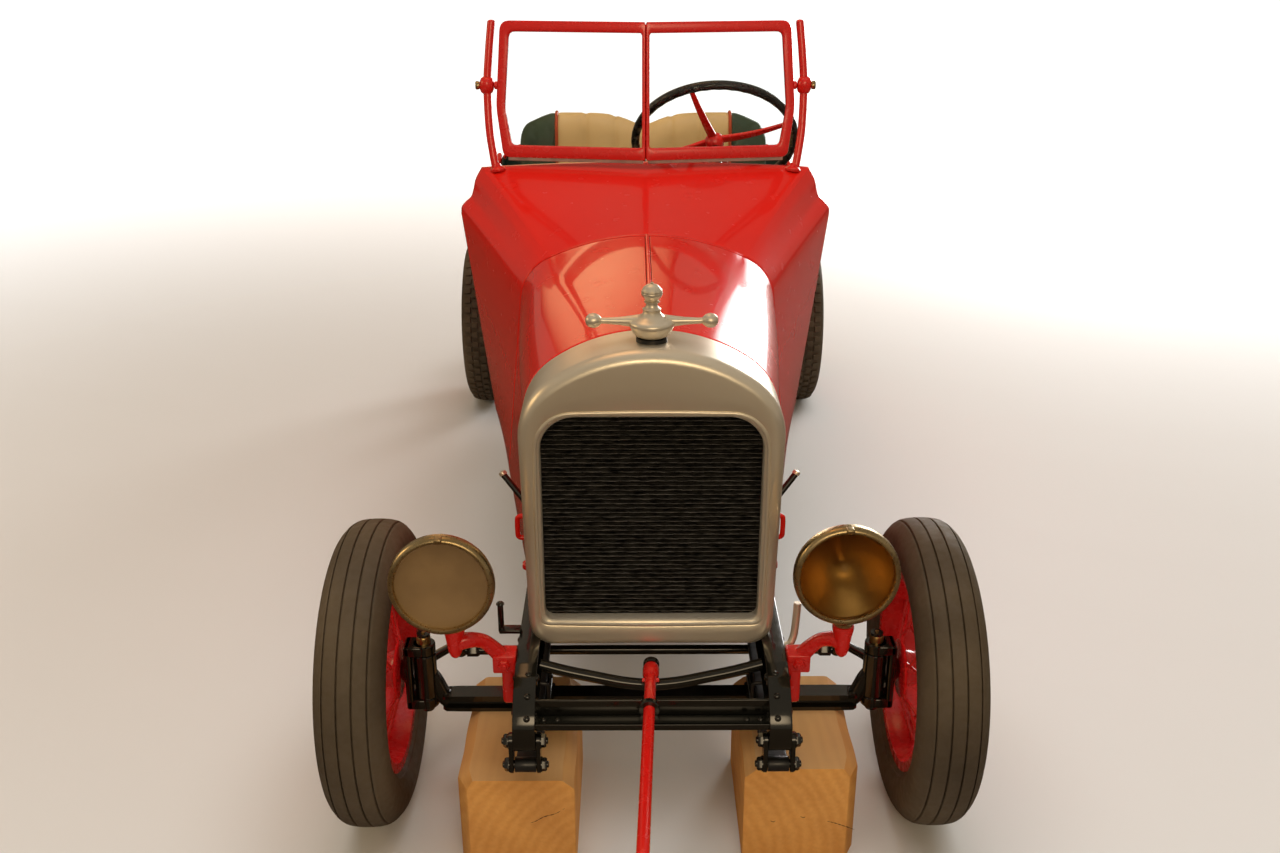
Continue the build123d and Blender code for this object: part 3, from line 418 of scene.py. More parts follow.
frame_parts = [channel_rail(-1), channel_rail(1), slab((0, -260.5, 333.5), (374, 5, 11), 1.2),
               slab((0, -248, 337), (374, 28, 4), 1.2), slab((-101.5, -234.5, 353), (171, 5, 28), 1.6),
               slab((97, -234.5, 353), (180, 5, 28), 1.6),
               slab((0, -119, 325), (22, 20, 30), 4.0),
               slab((0, -22, 392.5), (378, 56, 15), 3.0)]
for station, half in ((500.0, 225.0), (930.0, 250.0), (1640.0, 250.0)):
    frame_parts.append(slab((0, station, 371.5), (2 * half, 40, 53), 4.0))
frame_parts.append(slab((0, 2055, 383), (500, 40, 30), 4.0))
bowed = flowing([(x, -120.0, z) for x, z in ((-187, 357), (-140, 343), (-90, 331), (-45, 321), (0, 317),
                                            (45, 321), (90, 331), (140, 343), (187, 357))], 60)
frame_parts.append(carried(bowed, round_outline(10.0, 18)))
collar = [(9.7, 110), (16, 110), (17.5, 112), (17.5, 119), (16, 121), (9.7, 121), (9.7, 110)]
boss = [(9.7, -15), (12, -15), (13.5, -13), (13.5, -6), (12, -4), (9.7, -4), (9.7, -15)]
frame_parts += [turned(collar, CRANK_FOOT, CRANK_WAY, 40), turned(boss, CRANK_FOOT, CRANK_WAY, 32)]
piece("frame", frame_parts, black_enamel, "chassis", ["frame_rails"])
rivets = []
for side in (-1, 1):
    outer_face = side * (RAIL_X + RAIL_HALF)
    inner_face = side * (RAIL_X - RAIL_HALF)
    for station, height in ((-90.0, 386.0), (-90.0, 346.0), (-190.0, 378.0), (-190.0, 346.0),
                            (-232.0, 340.0)):
        rivets.append(rivet((outer_face, station, height), (side, 0, 0), 6.0, 4.0))
    for station, height in ((-190.0, 378.0), (-232.0, 340.0)):
        rivets.append(rivet((inner_face, station, height), (-side, 0, 0), 6.0, 4.0))
    for station, height, slope in ((-200.0, 391.4, 0.3), (-234.0, 372.2, 0.82), (-259.0, 347.6, 1.35)):
        rivets.append(rivet((side * (RAIL_X - 5.0), station, height), (0, -slope, 1), 5.5, 4.0))
    for station in (500.0, 930.0, 1640.0):
        spread = np.interp(station, (80, 900), (RAIL_X, REAR_X)) + RAIL_HALF
        for height in (358.0, 384.0):
            rivets.append(rivet((side * spread, station, height), (side, 0, 0), 5.0, 3.0))
    for across in (150.0, 172.0):
        rivets.append(rivet((side * across, -249.0, 338.8), (0, 0, 1), 5.0, 4.0))
piece("frame_rivets", rivets, black_enamel, "chassis")
dress(black_enamel, "rear_axle")

# Front and rear springs: tempered steel leaves, black painted, each shorter than the one
# above and drawn together by clips; the front pair hang from shackles under the horns and
# are held to the axle by U bolts, the rear pair are clamped under the rails.
LEAF_HALF = 17.0
PAD_TOP = 228.0
PIN_HEIGHTS = (254.0, 300.0)


def leaf(x, half, front, back, top, thick):
    """One spring leaf: a flat bar whose ends narrow and thin over their last 22 mm.

    Within reach r of an end the width is half*sqrt(0.12 + r/12), the depth thick*(0.45 + r/40).
    """
    y = np.concatenate([front + np.array([0, 2, 6, 12, 24]), back - np.array([24, 12, 6, 2, 0])])
    reach = np.minimum(y - front, back - y)
    wide = half * np.sqrt(np.clip(0.12 + reach / 12.0, 0.12, 1.0))
    deep = thick * np.clip(0.45 + reach / 40.0, 0.45, 1.0)
    outline = square_outline(2.0, 2.0, 0.3)
    grid = np.stack([x + outline[None, :, 0] * wide[:, None], y[:, None] + 0 * outline[None, :, 0],
                     top - deep[:, None] / 2 + outline[None, :, 1] * deep[:, None] / 2], -1)
    return skin_of(shut(grid), around=True)


def u_bolt(x, station, low, high, half):
    """A U bolt over a spring: legs half apart, joined by a half circle pressed flat."""
    t = np.linspace(np.pi, 0, 12)
    bend = np.stack([x + half * np.cos(t), np.full(12, station), high + 7.0 * np.sin(t) ** 0.5], -1)
    legs = np.array([(x - half, station, low), (x - half, station, high - 8.0)])
    path = np.vstack([legs, bend, (legs * [1, 1, 1] + [2 * half, 0, 0])[::-1]])
    return carried(path, round_outline(4.0, 10))


spring_steel = finish("spring_steel", (0.008, 0.008, 0.008), (0.025, 0.022, 0.02), (0.3, 0.5),
                      grain=110.0, bump=0.3, coat=0.15)
front_leaves = []
rear_leaves = []
shackles = []
for side in (-1, 1):
    x = side * RAIL_X
    for k, (ahead, behind) in enumerate(((246.0, 236.0), (190.0, 190.0), (140.0, 140.0), (92.0, 92.0))):
        front_leaves.append(leaf(x, LEAF_HALF, -ahead, behind, PAD_TOP + 6.0 * (4 - k), 6.0))
    eye = [(7.2, -17), (12, -17), (12.5, -16), (12.5, 16), (12, 17), (7.2, 17), (7.2, -17)]
    front_leaves.append(turned(eye, (x, -250.0, 254.0), (1, 0, 0), 28))
    front_leaves.append(slab((x, 230.0, 287.0), (34.0, 40.0, 82.0), 3.0))
    for station in (-150.0, 150.0):
        front_leaves.append(slab((x, station, PAD_TOP + 15.0), (41.0, 16.0, 20.0), 2.0))
        front_leaves.append(rivet((x - side * 21.0, station, PAD_TOP + 15.0), (-side, 0, 0), 4.0, 3.0))
    for station in (-34.0, 34.0):
        front_leaves.append(u_bolt(x, station, PAD_TOP - 10.0, PAD_TOP + 27.0, 21.5))
        for way in (-1, 1):
            front_leaves.append(hex_nut((x + way * 21.5, station, PAD_TOP - 16.0), (0, 0, -1), 13.0, 8.0))
    x = side * REAR_X
    for k, short in enumerate((0.0, 130.0, 230.0)):
        rear_leaves.append(leaf(x, 20.0, 1480.0, 2070.0 - short, 328.0 - 7.0 * k, 7.0))
    rear_leaves.append(slab((x, 2045.0, 305.0), (48.0, 44.0, 36.0), 3.0))
    for station in (1500.0, 1640.0):
        rear_leaves.append(slab((x, station, 319.0), (50.0, 22.0, 24.0), 2.5))
        for way in (-1, 1):
            rear_leaves.append(hex_nut((x + way * 20.0, station, 307.0), (0, 0, -1), 13.0, 8.0))
    for way in (-1, 1):
        face = side * RAIL_X + way * 21.8
        plate = square_outline(26.0, 74.0, 12.6, 7)
        grid = [np.stack([face + h + 0 * plate[:, 0], -250.0 + s * plate[:, 0], 277.0 + s * plate[:, 1]], -1)
                for h, s in ((-3.5, 0.02), (-3.5, 0.94), (-2.8, 1.0), (2.8, 1.0), (3.5, 0.94), (3.5, 0.02))]
        shackles.append(skin_of(np.array(grid), around=True))
        for height in PIN_HEIGHTS:
            shackles.append(hex_nut((face + way * 3.5, -250.0, height), (way, 0, 0), 19.0, 9.0))
    for height in PIN_HEIGHTS:
        shackles.append(turned([(0, -22), (7, -22), (7, 22), (0, 22)], (side * RAIL_X, -250.0, height),
                               (1, 0, 0), 20))
piece("front_leaves", front_leaves, spring_steel, "chassis", ["front_springs"])
piece("rear_leaves", rear_leaves, spring_steel, "chassis", ["rear_springs"])
piece("shackle_plates", shackles, black_enamel, "chassis", ["spring_shackles"])

# Front axle, knuckles and tie rod: forged steel, black enamelled. The beam is an I section
# with a pad for each spring and an eye for each king pin; the knuckles fork round the eyes,
# and their arms meet the tie rod in ball joints behind the axle.
KING_X = 401.0
EYE_LOW = 216.0
ARM_Z = 212.0
ARM_X = 360.0
ARM_BACK = 150.0
axle_brass = finish("axle_brass", (0.30, 0.19, 0.07), (0.55, 0.38, 0.16), (0.25, 0.45), metallic=1.0,
                    scale=18.0, grain=120.0, bump=0.2)
beam_outline = [(-17, -16), (17, -16), (17, -9), (7, -6), (7, 6), (17, 9), (17, 16), (-17, 16),
                (-17, 9), (-7, 6), (-7, -6), (-17, -9)]
beam_x = np.array([-372.0, -366.0, -340.0, -250.0, -236.0, 0.0, 236.0, 250.0, 340.0, 366.0, 372.0])
beam_line = np.stack([beam_x, 0 * beam_x, 206.0 + 0 * beam_x], -1)
axle_parts = [carried(beam_line, beam_outline, [0.82, 0.97, 1, 1, 1, 1, 1, 1, 1, 0.97, 0.82])]
for side in (-1, 1):
    axle_parts.append(turned([(0, 0), (18.5, 0), (20, 2), (20, 86), (18.5, 88), (0, 88)],
                             (side * KING_X, 0.0, EYE_LOW), (0, 0, 1), 32))
    neck = flowing([(side * 362.0, 0, 205.0), (side * 374.0, 0, 218.0), (side * 385.0, 0, 246.0),
                    (side * 394.0, 0, 262.0)], 14)
    axle_parts.append(carried(neck, square_outline(30.0, 22.0, 6.0), np.linspace(1.0, 0.82, 14)))
    axle_parts.append(slab((side * RAIL_X, 0.0, 220.0), (52.0, 96.0, 16.0), 3.0))
piece("axle_beam", axle_parts, black_enamel, "chassis", ["front_axle"])
for label, side in (("left", -1), ("right", 1)):
    parts = [turned([(0, 0), (11, 0), (11, 134), (11, 158), (0, 158)],
                    (side * KING_X, 0, 186.0), (0, 0, 1), 24)]
    for low in (195.0, 305.0):
        parts.append(turned([(0, 0), (18, 0), (20, 2), (20, 18), (18, 20), (0, 20)],
                            (side * KING_X, 0.0, low), (0, 0, 1), 32))
        parts.append(slab((side * 418.0, 0.0, low + 10.0), (36.0, 40.0, 20.0), 4.0))
    parts.append(slab((side * 429.5, 0.0, 260.0), (13.0, 40.0, 130.0), 4.0))
    stub = [(0, 0), (24, 0), (24, 4), (19, 9), (16, 12), (16, 95), (0, 95)]
    parts.append(turned(stub, (side * 432.0, 0.0, 269.0), (side, 0, 0), 32))
    arm = flowing([(side * 427.0, 12.0, 236.0), (side * 424.0, 50.0, 236.5), (side * 404.0, 88.0, 236.0),
                   (side * 378.0, 122.0, 235.0), (side * ARM_X, ARM_BACK, 234.5)], 30)
    parts.append(carried(arm, square_outline(18.0, 14.0, 5.0), np.linspace(1.15, 0.85, 30)))
    parts.append(turned([(0, 0), (12, 0), (13, 1.5), (13, 16.5), (12, 18), (0, 18)],
                        (side * ARM_X, ARM_BACK, 225.5), (0, 0, 1), 28))
    parts.append(hex_nut((side * ARM_X, ARM_BACK, 243.5), (0, 0, 1), 15.0, 8.0))
    body = label + "_knuckle"
    piece("knuckle_forging_" + label, parts, black_enamel, body, ["knuckle_" + label])
    cap = [(0, 0), (12.4, 0), (12.4, 10), (11, 14), (8, 17), (3.4, 18.4), (3.4, 21), (0, 21.4)]
    piece("king_pin_cap_" + label, [turned(cap, (side * KING_X, 0.0, 325.2), (0, 0, 1), 28)],
          axle_brass, body)
tie_line = np.stack([np.linspace(-ARM_X, ARM_X, 9), np.full(9, ARM_BACK), np.full(9, ARM_Z)], -1)
tie_parts = [carried(tie_line, round_outline(9.0, 18))]
for side in (-1, 1):
    tie_parts.append(turned([(0, -12.8), (6, -12), (10, -9), (12.6, -4), (13, 0), (12.6, 4), (10, 9),
                             (6, 12), (0, 12.8)], (side * ARM_X, ARM_BACK, ARM_Z), (0, 0, 1), 28))
    tie_parts.append(turned([(0, 0), (12, 0), (12.5, 1), (12.5, 20), (10, 24), (0, 24)],
                            (side * (ARM_X - 12.0), ARM_BACK, ARM_Z), (-side, 0, 0), 6))
piece("tie_bar", tie_parts, black_enamel, "tie", ["tie_rod"])

# Timber blocks: two sawn fir baulks under the axle, edges planed off, end grain to the front
# with a few drying cracks; they stand loose on the floor.
timber = bpy.data.materials.new("timber")
timber.use_nodes = True
wood = timber.node_tree
wood_shader = wood.nodes["Principled BSDF"]
grain_place = add(wood, "TexCoord").outputs["Object"]
wander = add(wood, "TexNoise", Vector=grain_place, Scale=4.0, Detail=3.0).outputs["Color"]
shaken = add(wood, "MixRGB", Fac=0.05, Color1=grain_place, Color2=wander).outputs["Color"]
rings_place = add(wood, "Mapping", Vector=shaken, Scale=(1.0, 0.03, 1.0)).outputs["Vector"]
rings = add(wood, "TexWave", Vector=rings_place, Scale=17.0, Distortion=1.6, Detail=1.0,
            Detail_Scale=2.0)
rings.wave_type = "RINGS"
rings.rings_direction = "SPHERICAL"
streak_place = add(wood, "Mapping", Vector=grain_place, Scale=(90.0, 3.0, 90.0)).outputs["Vector"]
streaks = add(wood, "TexNoise", Vector=streak_place, Scale=1.5, Detail=6.0).outputs["Fac"]
patches = add(wood, "TexNoise", Vector=grain_place, Scale=9.0, Detail=4.0).outputs["Fac"]
ring_tint = two_colours(wood, rings.outputs["Fac"], (0.72, 0.325, 0.070), (0.77, 0.365, 0.086), 0.0, 1.0)
patch_tint = two_colours(wood, patches, (0.78, 0.72, 0.66), (1.0, 1.0, 1.0), 0.35, 0.6)
streak_tint = two_colours(wood, streaks, (0.70, 0.62, 0.54), (1.0, 1.0, 1.0), 0.35, 0.6)
tint = add(wood, "MixRGB", Fac=0.7, Color1=ring_tint, Color2=patch_tint)
tint.blend_type = "MULTIPLY"
tint = add(wood, "MixRGB", Fac=0.22, Color1=tint.outputs["Color"], Color2=streak_tint)
tint.blend_type = "MULTIPLY"
# painted shadow: faces that point upwards are mixed towards a duller brown, standing in for the car's shadow
# on the tops of the baulks
upward = add(wood, "SeparateXYZ", Vector=add(wood, "NewGeometry").outputs["Normal"]).outputs["Z"]
flatness = add(wood, "MapRange", Value=upward, From_Min=0.5, From_Max=0.95).outputs["Result"]
top_painted_shadow = add(wood, "MixRGB", Fac=maths(wood, "MULTIPLY", flatness, 0.55), Color1=tint.outputs["Color"],
            Color2=(0.64, 0.42, 0.20, 1.0))
wood.links.new(top_painted_shadow.outputs["Color"], wood_shader.inputs["Base Color"])
wood_shader.inputs["Roughness"].default_value = 0.7
wood_raise = add(wood, "Bump", Height=streaks, Strength=0.2, Distance=0.0015).outputs["Normal"]
wood.links.new(wood_raise, wood_shader.inputs["Normal"])
crack_painted_shade = finish("timber_crack", (0.05, 0.022, 0.01), (0.09, 0.04, 0.018), (0.8, 0.9))
# inner side, outer side, front end, back end
BAULKS = ((-128.0, -326.0, -212.0, 94.0), (158.0, 354.0, -184.0, 94.0))
BAULK_TOP = 190.0
# block, then x and height of each point along a crack in its front face
CRACKS = ((0, ((-209, 103), (-196, 107), (-180, 117), (-160, 124), (-140, 138))),
          (1, ((296, 83), (312, 79), (330, 72), (350, 63))),
          (1, ((203, 84), (209, 81), (214, 84))), (1, ((254, 93), (260, 90), (265, 92))))


def baulk(inside, outside, front, back, top):
    """A planed baulk: a rectangle with its upper corners cut at 22 mm, wavering a little.

    The outline narrows by a nose of 18 mm at the outer front corner.
    """
    low, high = min(inside, outside), max(inside, outside)
    width = high - low
    outline = np.array([(0, 0.004), (0, 0.3), (0, 0.6), (0, top - 22), (1, top - 17), (20, top - 1),
                        (26, top), (0.25 * width, top), (0.4 * width, top)])
    left = outline + [low, 0]
    right = (outline * [-1, 1] + [high, 0])[::-1]
    ring = np.vstack([left, right])
    stations = np.concatenate([[front, front + 1.5, front + 12, front + 24, front + 36],
                               np.linspace(front + 50, back - 2, 18), [back]])
    nose = np.clip(1 - (stations - front) / 36.0, 0, 1) * 18.0
    middle = (low + high) / 2
    outer_way = np.sign(outside - inside)
    x = ring[None, :, 0] + 0 * stations[:, None]
    beyond = np.clip(outer_way * (x - middle) / (width / 2), 0, 1)
    x = x - outer_way * nose[:, None] * beyond**3
    x = x + 0.7 * np.sin(stations * 0.05 + low)[:, None] * (ring[None, :, 1] > 1)
    y = stations[:, None] + 0 * x
    z = ring[None, :, 1] + 0 * x
    end_in = np.array([0.985] + [1.0] * (len(stations) - 2) + [0.985])[:, None]
    grid = np.stack([middle + (x - middle) * end_in, y, z * end_in], -1)
    centre = np.array([[middle, front, top / 2]])
    caps = [np.broadcast_to(centre + [[0, d, 0]], (1,) + grid.shape[1:]) for d in (0.0, back - front)]
    return skin_of(np.concatenate([caps[0], grid, caps[1]]), around=True)


piece("timber_baulks", [baulk(*row, BAULK_TOP) for row in BAULKS], timber, "chassis",
      ["timber_blocks"], 30.0)
# the cracks are drawn as dark strips standing slightly proud of the front faces: painted shade in place of
# the open gaps
cracks = []
for which, line in CRACKS:
    front = BAULKS[which][2]
    path = flowing([(x, front + 0.4, z) for x, z in line], 30)
    width = np.sin(np.linspace(0.15, np.pi - 0.15, 30)) * (1.0 + 0.4 * np.sin(np.arange(30) * 1.7))
    cracks.append(carried(path, [(-0.5, -0.9), (0.5, -0.9), (0.5, 0.9), (-0.5, 0.9)], width))
piece("timber_cracks", cracks, crack_painted_shade, "chassis")

# Radiator shell: pressed brass with a satin nickel plate, one arched cover with rounded lower
# corners, a rolled front edge and a raised bead round the window; it is bolted to the rails.
SHELL = (203.0, 384.0, 211.0, 755.0, 120.0, 906.0)
SHELL_FRONT = -112.0
SHELL_CORNER = 38.0
WINDOW = (176.0, 436.0, 798.0, 56.0, 14.0)
nickel = finish("satin_nickel", (0.80, 0.70, 0.54), (0.88, 0.79, 0.63), (0.28, 0.38), metallic=0.75,
                scale=2.5, grain=260.0, bump=0.03, depth=0.0003)


def section(row, steps=(10, 12, 34)):
    """Half widths and heights of a body section, left foot over the crown to the right foot.

    Side line from (foot, bottom) to (shoulder half width, shoulder height), then a corner
    arc of radius rc tangent to it, then a crown arc tangent to both corner arcs.
    """
    wb, zb, w, zs, rc, zt = [np.asarray(c, float)[..., None] for c in row]
    lean = np.arctan2(w - wb, zs - zb)
    cx = w - rc * np.cos(lean)
    cz = zs + rc * np.sin(lean)
    r = (rc**2 - cx**2 - (cz - zt)**2) / (2 * (cz - zt + rc))
    top = zt - r
    join = np.arctan2(cz - top, cx)
    t = np.linspace(0, 1, steps[0])[:-1]
    side = np.stack([wb + (w - wb) * t, zb + (zs - zb) * t], -1)
    a = -lean + (join + lean) * np.linspace(0, 1, steps[1])[:-1]
    corner = np.stack([cx + rc * np.cos(a), cz + rc * np.sin(a)], -1)
    b = join + (np.pi / 2 - join) * np.linspace(0, 1, steps[2] // 2)
    crown = np.stack([r * np.cos(b), top + r * np.sin(b)], -1)
    half = np.concatenate([side, corner, crown], -2)
    return np.concatenate([half * [-1, 1], half[..., -2::-1, :]], -2)


def closed_outline(points, count):
    """A closed line sampled at equal steps of its own length."""
    p = np.vstack([points, points[:1]])
    length = np.concatenate([[0], np.cumsum(np.linalg.norm(np.diff(p, axis=0), axis=1))])
    s = np.linspace(0, length[-1], count, endpoint=False)
    return np.stack([np.interp(s, length, p[:, k]) for k in (0, 1)], -1)


def window_outline(half, low, high, corner, low_corner):
    """The radiator window: straight sides, big upper corners and smaller lower ones."""
    t = np.linspace(0, np.pi / 2, 12)
    q = np.stack([np.cos(t), np.sin(t)], -1)
    upper_right = q * corner + [half - corner, high - corner]
    upper_left = q[::-1] * [-corner, corner] + [corner - half, high - corner]
    lower_left = q * [-low_corner, -low_corner] + [low_corner - half, low + low_corner]
    lower_right = q[::-1] * [low_corner, -low_corner] + [half - low_corner, low + low_corner]
    return np.vstack([upper_right, upper_left, lower_left, lower_right])


def same_start(outline, about, count=260):
    """Resample a closed outline at equal angles seen from a point."""
    turn = np.arctan2(outline[:, 1] - about[1], outline[:, 0] - about[0])
    order = np.argsort(turn)
    want = np.linspace(-np.pi, np.pi, count, endpoint=False)
    return np.stack([np.interp(want, turn[order], outline[order, k], period=2 * np.pi)
                     for k in (0, 1)], -1)


arch_line = section(SHELL, (40, 20, 60))
arch_line = arch_line[arch_line[:, 1] > SHELL[1] + SHELL_CORNER]
t = np.linspace(0, np.pi / 2, 12)
foot_arc = np.stack([SHELL[0] - SHELL_CORNER + SHELL_CORNER * np.cos(t),
                     SHELL[1] + SHELL_CORNER - SHELL_CORNER * np.sin(t)], -1)
foot_line = np.stack([np.linspace(160, -160, 30), np.full(30, SHELL[1])], -1)
shell_outer = np.vstack([arch_line, foot_arc, foot_line, foot_arc[::-1] * [-1, 1]])
outer = same_start(closed_outline(shell_outer, 1200), (0.0, 620.0))
window = same_start(closed_outline(window_outline(*WINDOW), 1200), (0.0, 620.0))
# station, share of the way from the outer line to the window, inset along the way in mm
t = np.linspace(0, np.pi / 2, 8)
SHELL_ROLL = 24.0
profile = [(0.0, 0.0, 3.0), (0.0, 0.0, 0.0)]
profile += [(SHELL_FRONT + SHELL_ROLL * (1 - math.sin(a)), 0.0, SHELL_ROLL * 0.8 * (1 - math.cos(a)))
            for a in t]
profile += [(SHELL_FRONT + station, share, inset) for station, share, inset in (
    (0.6, 0.55, 0.0), (1.6, 1.0, -13.5), (2.4, 1.0, -12.2), (0.6, 1.0, -11.2), (0.0, 1.0, -9.0),
    (0.4, 1.0, -6.8), (2.4, 1.0, -5.8), (3.2, 1.0, -5.0), (4.0, 1.0, -3.0), (7.0, 1.0, 0.0),
    (26.0, 1.0, 0.0), (26.0, 1.0, -8.0))]
way = window - outer
way_length = np.linalg.norm(way, axis=1)[:, None]
rings = []
for station, share, inset in profile:
    flat = outer + way * share + way / way_length * inset
    rings.append(np.column_stack([flat[:, 0], np.full(len(flat), station), flat[:, 1]]))
piece("shell_cover", [skin_of(np.array(rings), around=True)], nickel, "chassis",
      ["radiator_shell"], 50.0)

# Radiator core: blackened copper fins in rows eight millimetres apart, thin as card and a
# little bent, across flat black tubes; it is let into the shell behind the window.
CORE_FACE = -87.0
FIN_PITCH = 8.0
FIN_ROWS = 46
core_black = finish("core_black", (0.0015, 0.0015, 0.0018), (0.004, 0.004, 0.005), (0.5, 0.8),
                    grain=300.0, bump=0.2)
# painted glints: the colour of the fin edges runs in stretched streaks from black to light grey along each
# row
fin_edge_glints = finish("fin_edge_glints", (0.004, 0.004, 0.004), (0.16, 0.15, 0.135), (0.3, 0.5), metallic=0.5,
                  scale=95.0, grain=500.0, bump=0.5, depth=0.0008, stretch=(0.6, 1.0, 2.0))
u = np.linspace(-180.0, 180.0, 130)
row = np.arange(FIN_ROWS)[:, None]
bend = (0.5 * np.sin(u[None] * 0.17 + row * 2.3) * np.sin(u[None] * 0.041 + row * 0.9)
        + 0.25 * np.sin(u[None] * 0.61 + row * 5.1))
height = 440.0 + row * FIN_PITCH + bend
fins = []
for k in range(FIN_ROWS):
    line = np.stack([u, CORE_FACE + 0.4 * np.sin(u * 0.9 + k), height[k]], -1)
    edge = [line + [0, dy, dz] for dy, dz in ((16.0, 0.5), (0.3, 0.65), (0, 0.4), (0, -0.4), (0.3, -0.65),
                                              (16.0, -0.5))]
    fins.append(skin_of(np.stack(edge, 1)))
piece("core_fins", fins, fin_edge_glints, "chassis")
tubes = []
for x in np.linspace(-170.0, 170.0, 24):
    tubes.append(slab((x, CORE_FACE + 18.0, 618.0), (3.0, 10.0, 372.0), 1.2))
tubes.append(slab((0.0, CORE_FACE + 24.0, 618.0), (362.0, 10.0, 372.0), 2.0))
piece("core_tubes", tubes, core_black, "chassis", ["radiator_core"])

# Radiator cap: a nickel casting with a flared body, cross arms ending in balls and a stepped
# finial with a grooved ball, screwed down over a black rubber neck.
CAP_Y = -52.0
neck_rubber = finish("neck_rubber", (0.006, 0.006, 0.006), (0.018, 0.018, 0.018), (0.3, 0.5))
body_line = [(0, 912), (20, 912), (27, 916), (31, 922), (34.5, 929), (36, 933.5), (35.4, 937),
             (32, 940), (26, 942.4), (19, 945.5), (15, 949), (13, 953), (14.5, 955), (14.5, 957),
             (11, 959), (9, 962), (9, 966), (12, 967.5), (12, 969.5), (9.5, 970.5), (9.5, 971.5),
             (14, 975), (16, 979), (16.6, 982), (16.2, 983.0), (15.4, 983.4), (16.2, 983.8),
             (16.0, 986.0), (15.2, 986.3), (15.4, 986.9), (13, 991), (9, 994.5), (4, 996.2),
             (2.4, 996.4), (2.4, 998.6), (0, 998.8)]
arm_line = [(0, 20), (10.5, 22), (8.5, 34), (6.2, 50), (4.8, 70), (4.6, 78), (6.2, 79.5), (9.5, 83),
            (11.2, 88), (11.4, 91.5), (10.2, 97), (7, 101), (3, 102.6), (0, 102.8)]
cap_parts = [turned(body_line, (0, CAP_Y, 0), (0, 0, 1), 64)]
for side in (-1, 1):
    cap_parts.append(turned(arm_line, (0, CAP_Y, 936), (side, 0, 0.02), 36))
piece("filler_cap", cap_parts, nickel, "chassis", ["radiator_cap"], 40.0)
neck_line = [(0, 893), (26, 893), (26.5, 903), (24.5, 905), (24.5, 912), (0, 912)]
piece("filler_neck", [turned(neck_line, (0, CAP_Y, 0), (0, 0, 1), 48)], neck_rubber, "chassis")

# Bonnet: two halves of sheet aluminium rolled to an arch and hinged on a rod along the
# crown, in bright red enamel rubbed to a mirror. Each half has a catch, a D handle and a stay.
# station, foot half width and height, shoulder half width and height, corner radius, crown
FRONT_ROWS = np.array([(0.0, 203.0, 402.0, 211.0, 755.0, 120.0, 906.0),
                       (305.0, 255.0, 402.0, 241.0, 765.0, 112.0, 906.0),
                       (610.0, 303.0, 383.0, 263.0, 775.0, 105.0, 906.0)])
HINGE_HALF = 5.3
BONNET_SHEET = 0.0016
BODY_SHEET = 0.003
coach_red = finish("coach_red", (0.66, 0.009, 0.004), (0.72, 0.013, 0.006), (0.22, 0.28), scale=1.6,
                   grain=26.0, bump=0.0, coat=0.6)
coach_red.node_tree.nodes["Principled BSDF"].inputs["Specular IOR Level"].default_value = 0.15
red_enamel = finish("red_enamel", (0.62, 0.008, 0.005), (0.66, 0.011, 0.007), (0.22, 0.3), scale=3.0,
                    grain=60.0, bump=0.0, coat=0.45)


def eased(stations, rows):
    """Rows between rows: the cubic (2t^3-3t^2+1)a + (t^3-2t^2+t)ma + (3t^2-2t^3)b + (t^3-t^2)mb."""
    x = rows[:, 0]
    slope = np.gradient(rows[:, 1:], x, axis=0)
    k = np.clip(np.searchsorted(x, stations, side="right") - 1, 0, len(x) - 2)
    span = (x[k + 1] - x[k])[:, None]
    t = ((stations - x[k]) / span[:, 0])[:, None]
    a, b = rows[k, 1:], rows[k + 1, 1:]
    return ((2 * t**3 - 3 * t**2 + 1) * a + (t**3 - 2 * t**2 + t) * span * slope[k]
            + (3 * t**2 - 2 * t**3) * b + (t**3 - t**2) * span * slope[k + 1])


def at_stations(flat, stations):
    """Flat sections set at their stations: x and height from each section, y the station."""
    depth = np.broadcast_to(stations[:, None, None], flat.shape[:2] + (1,))
    return np.concatenate([flat[..., :1], depth, flat[..., 1:]], -1)


def coach_points(stations, rows, steps=(14, 14, 60)):
    """Points of the coachwork, whose sections run smoothly between the rows."""
    return at_stations(section(eased(stations, rows).T, steps), stations)


def sheet_panel(name, grid, body, replaces, inside, thickness, sharp=35.0):
    """A red panel with a wall inwards, its faces turned from a point inside (back, up) in metres."""
    made = piece(name, [skin_of(grid)], coach_red, body, replaces, sharp)
    inside_point = np.array([0.0, axle_y + inside[0], inside[1]])
    mesh = made.data
    form = bmesh.new()
    form.from_mesh(mesh)
    form.faces.ensure_lookup_table()
    middle = np.array([f.calc_center_median() for f in form.faces])
    normal = np.array([f.normal for f in form.faces])
    if ((middle - inside_point) * normal).sum() < 0:
        bmesh.ops.reverse_faces(form, faces=form.faces)
        form.to_mesh(mesh)
    form.free()
    wall = made.modifiers.new("wall", "SOLIDIFY")
    wall.thickness = thickness
    wall.offset = -1.0


